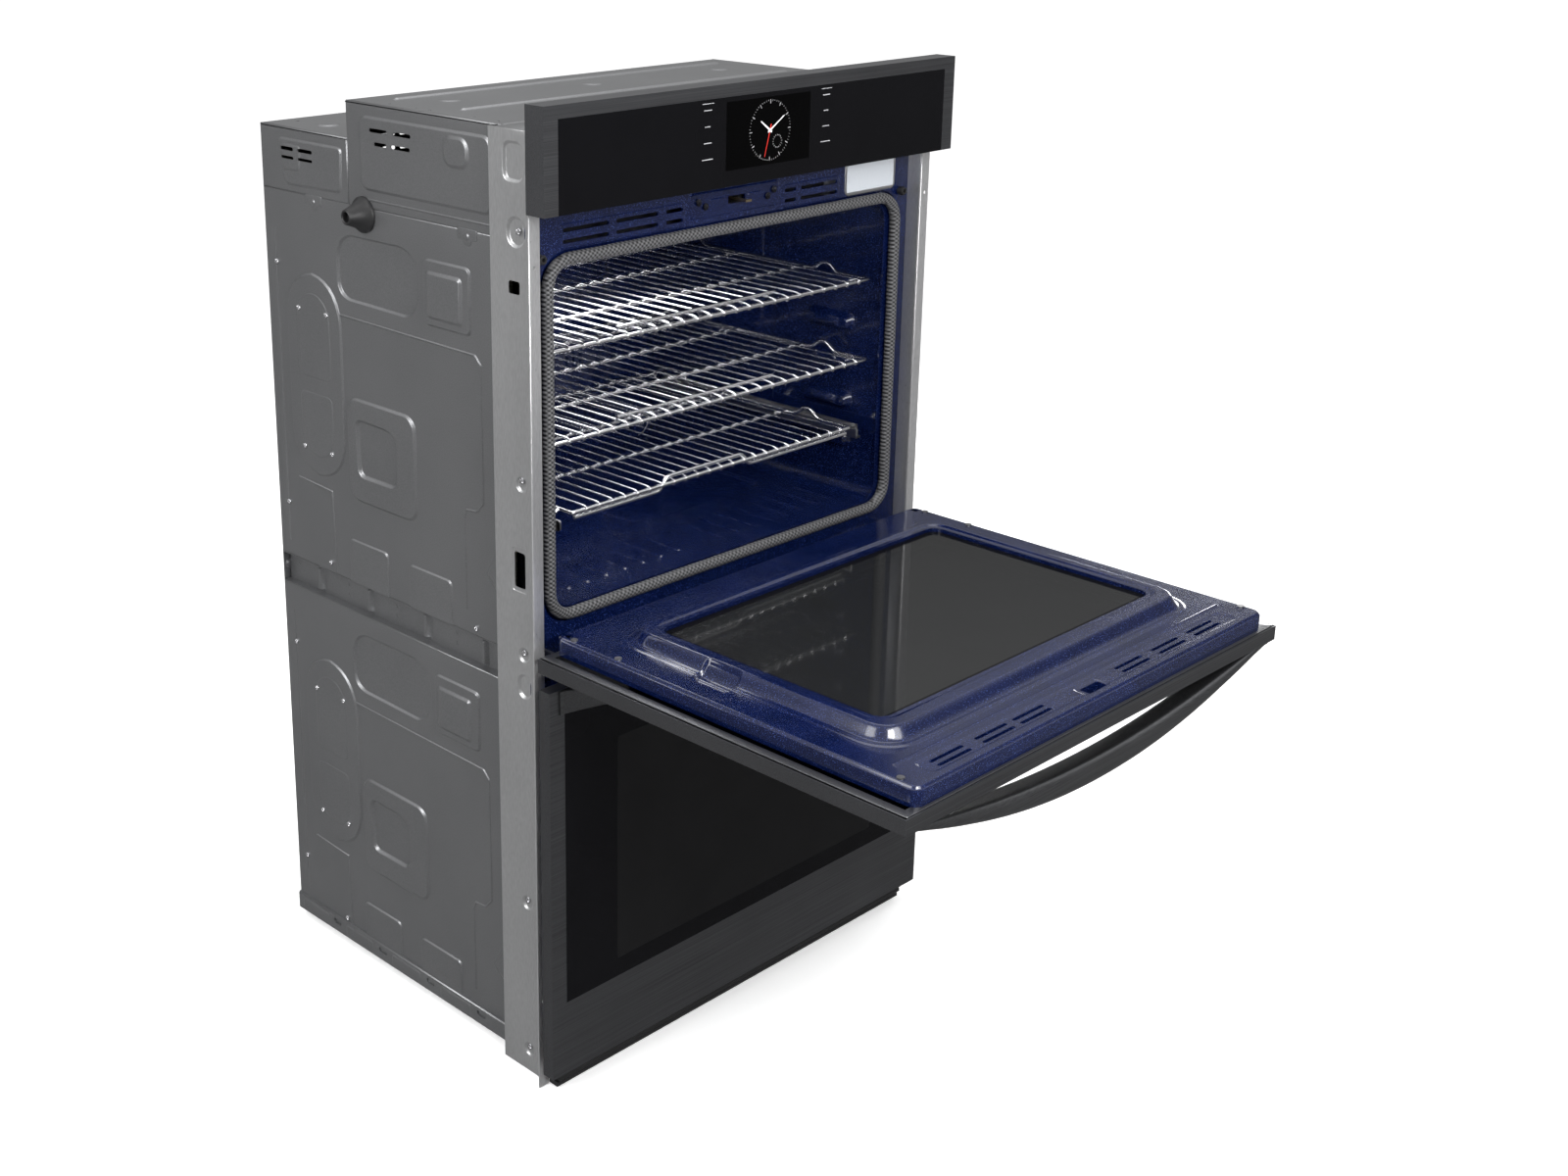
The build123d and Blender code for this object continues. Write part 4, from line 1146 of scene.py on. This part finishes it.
def racks():
    for node, body, label in (("upper_top_rack", "top_rack", "top_rack"),
                              ("upper_middle_rack", "middle_rack", "middle_rack")):
        low, high = span(node)
        piece = rack_wires(label, body, high[0] - 3, (low[1] + 3, high[1] - 3), low[2] + 3)
        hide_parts(node)
    low, high = span("glide_rack")
    height = high[2] - 5.55
    piece = rack_wires("gliding_rack", "glide_rack", 271.0, (low[1] + 3, high[1] - 3), height,
                       True)
    glide_ends(low, height)
    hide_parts("glide_rack")
    low, high = span("lower_racks")
    for index, z in enumerate((low[2] + 3, high[2] - 5.55)):
        piece = rack_wires(f"lower_rack_{index}", "cabinet", high[0] - 3,
                           (low[1] + 3, high[1] - 3), z)
    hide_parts("lower_racks")


def glide_ends(low, height):
    """The gliding rack's inner rails and the arms that join them to its frame."""
    for label, sign in (("left", -1.0), ("right", 1.0)):
        press(f"glide_inner_{label}", "glide_rack", "rail_steel",
              facing("x", sign * 288.0, -sign),
              rect((low[1] + 4, 440), (height - 20, height - 6), 3),
              [Boss(slot_loop((70, 420), (height - 16, height - 10)), 0.8, 2)], edge=3.0, roll=0.4)
        arms = [bent([(sign * 288, y, height - 10), (sign * 282, y, height - 4),
                      (sign * 272, y, height)], 4) for y in (64, 234, 404)]
        wires(f"glide_arms_{label}", "glide_rack", "chrome", arms, 2.6)


# ---- doors -----------------------------------------------------------------------------


def door_place(name, at_y, sign=1.0):
    """Places a door's sheet: u is X and v is the height along the door from its bottom."""
    pivot_y, pivot_z = HINGES[name][1], HINGES[name][2]

    def place(u, v, height):
        y = at_y + sign * height
        z = v + pivot_z - HINGE_RISE
        if name == "lower":
            return np.stack([u, y, z], 1)
        return np.stack([u, pivot_y - (z - pivot_z), pivot_z + (y - pivot_y)], 1)

    return place


def door_point(name, x, y, v):
    return door_place(name, y)(np.array([x]), np.array([v]), np.array([0.0]))[0]


def door_liner(name, top, latch_v):
    place = door_place(name, LINER_FACE)
    half = 354.0
    outline = rect((-half, half), (5, top - 6), 12, 6)
    window = rect((-272, 272), (104, 452), 16, 8)
    crown = rect((-306, 306), (70, 492), 40, 10)
    vents = []
    for start in (-292, -212, -142, 62, 142, 222):
        for row in (0, 11):
            vents.append(slot_loop((start, start + 58), (top - 40 + row, top - 35 + row)))
    shapes = [
        Boss(crown, 15.6, 15, 8),
        Boss(inset(window, -12), -3.0, 7, 5),
        Boss(inset(crown, -9), 1.6, 5, 4),
        Boss(bead([(-330, 514), (330, 514)], 3.0), 1.4, 2.8, 4),
        Boss(rect((-312, 312), (top - 47, top - 17), 10), -1.4, 4),
        Boss(rect((-26, 24), (latch_v - 14, latch_v + 12), 8), -1.2, 4),
    ]
    for sign in (-1, 1):
        notch = rect(sorted((sign * 290, sign * 326)), (205, 266), 8)
        shapes.append(Boss(notch, -6.0, 5, 5))
    liner = press(f"{name}_liner", f"{name}_door", "blue_enamel", place, outline, shapes,
                  [window, rect((-17, 19), (latch_v - 7, latch_v + 7), 2), *vents,
                   *(rect((x - 4.5, x + 4.5), (8, 22), 1) for x in (-HINGE_X, HINGE_X))],
                  roll=4.0, edge=14.0)
    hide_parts(f"{name}_door_liner")
    # A near-black sheet behind the liner's vents: painted shade for the dark inside of the door.
    back = press(f"{name}_liner_painted_shade", f"{name}_door", "black_plastic",
                 door_place(name, LINER_FACE - 16.0), rect((-340, 340), (500, top - 14), 4),
                 look="painted_shade_black")
    del back
    sides = inset(rect((-half, half), (5, top - 6), 12, 6), 0.2)
    skirt(f"{name}_liner_skirt", name, sides, LINER_FACE - 24.0, LINER_FACE - 4.0)
    flange = press(f"{name}_liner_flange", f"{name}_door", "blue_enamel",
                   door_place(name, LINER_FACE - 23.8), rect((-374, 374), (2, top - 2), 2),
                   [], [flange_opening(top)], roll=0.4, look="dark_edge")
    del flange


def flange_opening(top):
    """The liner's footprint, with room at the bottom for the two hinge arms."""
    side, low, high, deep = 362.0, 14.0, top - 14.0, 5.0
    loop = [(-side, low)]
    for x in (-HINGE_X, HINGE_X):
        loop += [(x - 4.5, low), (x - 4.5, deep), (x + 4.5, deep), (x + 4.5, low)]
    return loop + [(side, low), (side, high), (-side, high)]


def skirt(name, door, loop, low, high):
    """The upright sides of a door's liner."""
    count = len(loop)
    points = [door_point(door, u, y, v) for y in (low, high) for u, v in loop]
    faces = [(i, (i + 1) % count, count + (i + 1) % count, count + i) for i in range(count)]
    piece = mesh_piece(name, f"{door}_door", "blue_enamel", points, faces)
    piece.data.set_sharp_from_angle(angle=math.radians(38))
    return piece


def door_edges(name, top):
    """Slim returns around the door's metal front."""
    outer = rect((-HALF_WIDTH + 0.2, HALF_WIDTH - 0.2), (0.2, top - 0.2), 3, 4)
    inner = inset(outer, 3.2)
    press(f"{name}_door_return", f"{name}_door", "dark_steel",
          door_place(name, LINER_FACE - 25.0 - 0.6), outer, [], [inset(outer, 9)],
          roll=1.2, look="dark_edge")
    del inner


def arc_rise(x, foot, middle):
    """How far an arc through (-foot, 0), (0, middle) and (foot, 0) stands out at x."""
    radius = (foot ** 2 + middle ** 2) / (2 * middle)
    return np.sqrt(radius ** 2 - x ** 2) - (radius - middle)


def handle_bar(name, top):
    """The crescent-shaped handle: thin at the door's corners, deep in the middle."""
    half, reach, gap, tall = 362.0, 66.0, 34.0, 32.0
    stations = half * np.sin(np.linspace(-math.pi / 2, math.pi / 2, 73))
    points, around = [], 0
    for x in stations:
        outer = max(arc_rise(x, half, reach), 2.2)
        inner = max(arc_rise(x, half - 30.0, gap), 0.0) if abs(x) < half - 30.0 else 0.0
        round_off = min(9.0, (outer - inner) * 0.45)
        section = rect((FRONT_Y - outer, FRONT_Y - inner), (top - tall - 1, top - 1),
                       round_off, 5)
        around = len(section)
        points.append(door_place(name, 0.0)(np.full(around, x), section[:, 1], section[:, 0]))
    faces = []
    for ring in range(len(stations) - 1):
        for step in range(around):
            a = ring * around + step
            b = ring * around + (step + 1) % around
            faces.append((a, b, b + around, a + around))
    last = (len(stations) - 1) * around
    faces += [tuple(range(around))[::-1], tuple(range(last, last + around))]
    bar = mesh_piece(f"{name}_handle", f"{name}_door", "dark_steel", np.vstack(points), faces,
                     None, "handle_steel")
    bar.data.set_sharp_from_angle(angle=math.radians(45))
    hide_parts(f"{name}_door_handle")


def window_panes(name):
    """The inner pane set in the liner's ring, with its black border, and the pane behind."""
    body = f"{name}_door"
    window = rect((-273, 273), (103, 453), 14, 8)
    pane = press(f"{name}_pane_inner", body, "clear_glass", door_place(name, LINER_FACE + 9.0),
                 window, edge=3.0)
    press(f"{name}_pane_border", body, "black_glass", door_place(name, LINER_FACE + 9.15), window,
          [], [inset(window, 11)], edge=0.1)
    press(f"{name}_pane_outer", body, "clear_glass", door_place(name, LINER_FACE - 15.0),
          rect((-284, 284), (94, 462), 4), edge=3.0)
    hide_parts(f"{name}_door_inner_panes")


def door_screws(name, top):
    places = [tuple(door_point(name, sign * 346, LINER_FACE, v)) for v in (32, 110, top - 34)
              for sign in (-1, 1)]
    direction = (0, 0, 1) if name == "upper" else (0, 1, 0)
    return turned(f"{name}_door_screws", f"{name}_door", "bright_screw", places, direction,
                  [(r * 0.85, h * 0.6) for r, h in SCREW], look="black_screw", cross=1.2)


def doors():
    for name in ("upper", "lower"):
        low, high = span(f"{name}_door_frame")
        top = high[2] - low[2] if name == "lower" else high[1] - low[1]
        latch_v = 545.0 if name == "upper" else 530.0
        door_liner(name, top, latch_v)
        door_screws(name, top)
        handle_bar(name, top)
        window_panes(name)


# ---- control panel ---------------------------------------------------------------------


def bars(name, spots, look="mark", deep=0.25):
    """Small raised marks on the control glass, as (centre x, centre z, width, height)."""
    points, faces = [], []
    for x, z, width, height in spots:
        start = len(points)
        for y in (FRONT_Y - deep, FRONT_Y):
            points += [(x + sx * width / 2, y, z + sz * height / 2)
                       for sx, sz in ((-1, -1), (1, -1), (1, 1), (-1, 1))]
        faces += [tuple(start + i for i in face) for face in
                  ((0, 1, 2, 3), (0, 4, 5, 1), (1, 5, 6, 2), (2, 6, 7, 3), (3, 7, 4, 0))]
    piece = mesh_piece(name, "cabinet", "display", points, faces, None, look)
    piece.data.set_sharp_from_angle(angle=math.radians(30))
    return piece


def hand(centre, clock_angle, length, width, tail=4.0):
    """A clock hand's four corners, tapering to its tip."""
    angle = math.radians(90 - clock_angle)
    along = np.array([math.cos(angle), math.sin(angle)])
    side = np.array([-along[1], along[0]])
    centre = np.array(centre)
    return [centre - along * tail + side * width / 2, centre - along * tail - side * width / 2,
            centre + along * length - side * width / 4, centre + along * length + side * width / 4]


def clock():
    """The display's clock face: hour marks, two white hands and a red one."""
    centre = (2.0, 1227.0)
    y = FRONT_Y - 0.3

    def flat(name, shapes, look):
        points, faces = [], []
        for shape in shapes:
            start = len(points)
            points += [(u, y, v) for u, v in shape]
            points += [(u, y + 0.3, v) for u, v in shape]
            n = len(shape)
            faces.append(tuple(range(start, start + n)))
            faces += [(start + i, start + n + i, start + n + (i + 1) % n, start + (i + 1) % n)
                      for i in range(n)]
        piece = mesh_piece(name, "cabinet", "display", points, faces, None, look)
        piece.data.set_sharp_from_angle(angle=math.radians(30))

    ticks = []
    for minute in range(60):
        long_mark = minute % 5 == 0
        angle = math.radians(minute * 6)
        reach = 36.0 if long_mark else 37.5
        length, width = (5.0, 0.9) if long_mark else (1.8, 0.4)
        at = (centre[0] + reach * math.sin(angle), centre[1] + reach * math.cos(angle))
        ticks.append(hand(at, minute * 6, length / 2, width, length / 2))
    flat("clock_ticks", ticks, "mark")
    flat("clock_hands", [hand(centre, -54, 21, 2.6), hand(centre, 58, 31, 2.2)], "clock_white")
    flat("clock_second_hand", [hand(centre, 196, 34, 0.9, 8)], "mark_red")
    dial = (centre[0] + 14, centre[1] - 15)
    flat("clock_small_dial", [hand((dial[0] + 8 * math.sin(t), dial[1] + 8 * math.cos(t)),
                                   math.degrees(t), 0.8, 0.6, 0.8)
                              for t in np.linspace(0, 2 * math.pi, 16, endpoint=False)], "mark")


def panel_marks():
    """Generic key marks in two columns beside the display."""
    spots = []
    for x, rows in ((-111, (1262, 1242, 1222, 1202)), (109, (1262, 1242, 1222, 1202))):
        for index, z in enumerate(rows):
            width = (14, 9, 13, 19)[index]
            spots.append((x, z, width, 1.0))
            if index == 0:
                spots.append((x, z + 8.0, 20, 0.7))
    bars("panel_marks", spots)


def display_surround():
    """The touch display's dark area, seen through the glass."""
    outer = rect((-78, 78), (1184, 1269), 2)
    press("display_surface", "cabinet", "display", facing("y", FRONT_Y - 0.12, -1.0), outer,
          edge=0.1)


# ---- reservoir and vent trim -----------------------------------------------------------


def panel_back():
    """The cover that closes the control panel's back, above the casing."""
    half = HALF_WIDTH - 2.0
    press("panel_back_cover", "cabinet", "galvanised", facing("y", -2.2),
          rect((-half, half), (PANEL_LOW + 2, PANEL_TOP - 2), 2),
          [Boss(rect((-300, 300), (PANEL_TOP - 28, PANEL_TOP - 10), 6), -1.2, 3)],
          [slot_loop((x - 14, x + 14), (PANEL_TOP - 21, PANEL_TOP - 17))
           for x in range(-240, 241, 60)], roll=0.8)


def inner_windows():
    """The lighter inner window behind each door's dark outer glass."""
    for name in ("upper", "lower"):
        press(f"{name}_inner_window", f"{name}_door", "black_glass",
              door_place(name, FRONT_Y - 0.1, -1.0), rect((-262, 262), (134, 458), 3), edge=0.05,
              look="inner_window")


def reservoir():
    low, high = span("reservoir_face")
    outline = rect((low[0], high[0]), (low[2], high[2]), 9, 6)
    face = press("reservoir_front", "reservoir", "face_metal", facing("y", low[1] + 2.0, -1.0),
                 outline, [Boss(inset(outline, 3.5), -0.9, 2.5)], roll=1.8, edge=1.0)
    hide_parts("reservoir_face")


def vent_trim():
    low, high = span("lower_vent_trim")
    profile = [(-6, 3), (-24, 3), (-24, 9), (-22, 10), (-2, 10), (-2, -8), (-18, -8), (-20, -6),
               (-20, -1), (-6, -1)]
    section = rounded([(y, z) for y, z in profile], 1.2, 3)
    count = len(section)
    points = [(x, y, z) for x in (low[0], high[0]) for y, z in section]
    faces = [(i, (i + 1) % count, count + (i + 1) % count, count + i) for i in range(count)]
    faces += [tuple(range(count))[::-1], tuple(range(count, 2 * count))]
    trim = mesh_piece("vent_trim", "cabinet", "black_plastic", points, faces)
    trim.data.set_sharp_from_angle(angle=math.radians(40))
    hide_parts("lower_vent_trim")


# ---- CAD nodes that stay ---------------------------------------------------------------


def finish_cad_nodes():
    """Give every CAD node its slot's procedural material, and the door and panel frames slightly rounded edges."""
    slots = {row["node"]: row["material_slot"] for row in frame["record"]["subparts"]}
    special = {"upper_door_handle": "handle_steel", "lower_door_handle": "handle_steel",
               "upper_latch_hook": "brass", "lower_latch_hook": "brass"}
    soft_edges = ("upper_door_frame", "lower_door_frame", "control_panel_frame")
    for name, node in NODES.items():
        node.data.materials.clear()
        node.data.materials.append(MATS[special.get(name, slots[name])])
        if name in soft_edges:
            round_over(node, 1.1)


def round_over(node, width):
    bevel = node.modifiers.new("edge", "BEVEL")
    bevel.width = width * MM
    bevel.segments = 2
    bevel.limit_method = "ANGLE"
    bevel.angle_limit = math.radians(50)
    bevel.harden_normals = True


# ---- stage, camera and light -----------------------------------------------------------


def stage():
    low = CAD_BOX[0]
    mesh = bpy.data.meshes.new("floor")
    reach = 60.0
    mesh.from_pydata([(x * reach, y * reach, low[2] - 0.0005) for x, y in
                      ((-1, -1), (1, -1), (1, 1), (-1, 1))], [], [(0, 1, 2, 3)])
    floor = bpy.data.objects.new("floor", mesh)
    bpy.context.scene.collection.objects.link(floor)
    pale = Shader("floor_pale", (0.88, 0.88, 0.88), 0.9)
    fine = pale.noise(300.0)
    pale.color(pale.ramp(fine, [(0.3, (0.87, 0.87, 0.87)), (0.7, (0.89, 0.89, 0.89))]))
    pale.set("Emission Color", (1.0, 1.0, 1.0, 1.0))
    pale.set("Emission Strength", 0.42)
    floor.data.materials.append(pale.material)
    floor.visible_glossy = False
    backdrop()
    studio_world()


def backdrop():
    """A plain pale wall far away, so that low views have no dark band above the floor."""
    reach, tall, count = 55.0, 60.0, 48
    turns = [2 * math.pi * step / count for step in range(count)]
    points = [(reach * math.cos(turn), reach * math.sin(turn), z)
              for z in (-0.1, tall) for turn in turns]
    faces = [(i, (i + 1) % count, count + (i + 1) % count, count + i) for i in range(count)]
    mesh = bpy.data.meshes.new("backdrop")
    mesh.from_pydata(points, [], faces)
    wall = bpy.data.objects.new("backdrop", mesh)
    bpy.context.scene.collection.objects.link(wall)
    wall.data.materials.append(glowing("backdrop_pale", (1.0, 1.0, 1.0), 1.0))
    wall.visible_glossy = False
    wall.visible_diffuse = False
    wall.visible_shadow = False


def studio_world():
    """A soft surround, dim below and brighter above, as the reflections show it."""
    world = bpy.data.worlds.new("studio")
    bpy.context.scene.world = world
    world.use_nodes = True
    tree = world.node_tree
    place = tree.nodes.new("ShaderNodeTexCoord")
    parts = tree.nodes.new("ShaderNodeSeparateXYZ")
    ramp = tree.nodes.new("ShaderNodeValToRGB")
    shift = tree.nodes.new("ShaderNodeMapRange")
    shift.inputs["From Min"].default_value = -1.0
    for element, (at, grey) in zip((ramp.color_ramp.elements[0], ramp.color_ramp.elements[1],
                                    ramp.color_ramp.elements.new(0.5),
                                    ramp.color_ramp.elements.new(0.6),
                                    ramp.color_ramp.elements.new(0.8)),
                                   ((0.0, 0.15), (1.0, 0.60), (0.50, 0.24), (0.66, 0.20),
                                    (0.80, 0.85))):
        element.position = at
        element.color = (grey, grey, grey, 1.0)
    tree.links.new(place.outputs["Generated"], parts.inputs[0])
    tree.links.new(parts.outputs["Z"], shift.inputs["Value"])
    tree.links.new(shift.outputs["Result"], ramp.inputs["Fac"])
    tree.links.new(ramp.outputs["Color"], tree.nodes["Background"].inputs["Color"])
    tree.nodes["Background"].inputs["Strength"].default_value = 1.0


def softbox(name, place, aim, size, power, spread=160):
    light = bpy.data.lights.new(name, "AREA")
    light.shape = "RECTANGLE"
    light.size, light.size_y = size
    light.energy = power
    light.spread = math.radians(spread)
    lamp = bpy.data.objects.new(name, light)
    lamp.visible_camera = False
    lamp.location = place
    lamp.rotation_euler = (Vector(aim) - Vector(place)).to_track_quat("-Z", "Y").to_euler()
    bpy.context.scene.collection.objects.link(lamp)


def studio():
    softbox("top_box", (0.2, 0.3, 3.6), (0.0, 0.2, 0.6), (2.6, 2.0), 24)
    softbox("left_box", (-3.4, 0.4, 2.4), (-0.3, 0.3, 0.8), (1.6, 2.2), 62)
    softbox("right_box", (3.4, 0.8, 0.9), (0.3, 0.3, 0.7), (1.4, 1.0), 36)
    softbox("front_box", (-0.1, -3.4, 3.0), (0.0, 0.0, 0.8), (1.6, 1.4), 46)
    softbox("cavity_box", (-0.7, -1.5, 1.55), (0.1, 0.3, 0.88), (0.5, 0.4), 16)
    softbox("oven_glow", (-0.14, 0.24, 1.085), (-0.10, 0.30, 0.6), (0.30, 0.26), 2.4)


def camera():
    """The photo's viewpoint, found by matching the oven's corners."""
    data = bpy.data.cameras.new("camera")
    data.lens = 45.18
    data.sensor_width = 36.0
    data.shift_x = 0.109
    data.shift_y = -0.09
    data.clip_end = 200.0
    eye = bpy.data.objects.new("camera", data)
    eye.location = (-1.848, -1.694, 1.586)
    yaw, pitch = math.radians(43.55), math.radians(17.39)
    eye.rotation_euler = (math.pi / 2 - pitch, 0.0, -yaw)
    bpy.context.scene.collection.objects.link(eye)
    bpy.context.scene.camera = eye


camera()
stage()
studio()
finish_cad_nodes()
side_panels()
hoods()
seam_clips()
back_panel()
mid_rails()
base_flanges()
access_covers()
casing_screws()
side_trims()
grommet()
front_sheets()
cavities()
gaskets()
bumpers()
racks()
doors()
display_surround()
clock()
panel_marks()
reservoir()
vent_trim()
inner_windows()
panel_back()
bpy.context.scene.view_settings.view_transform = "Standard"
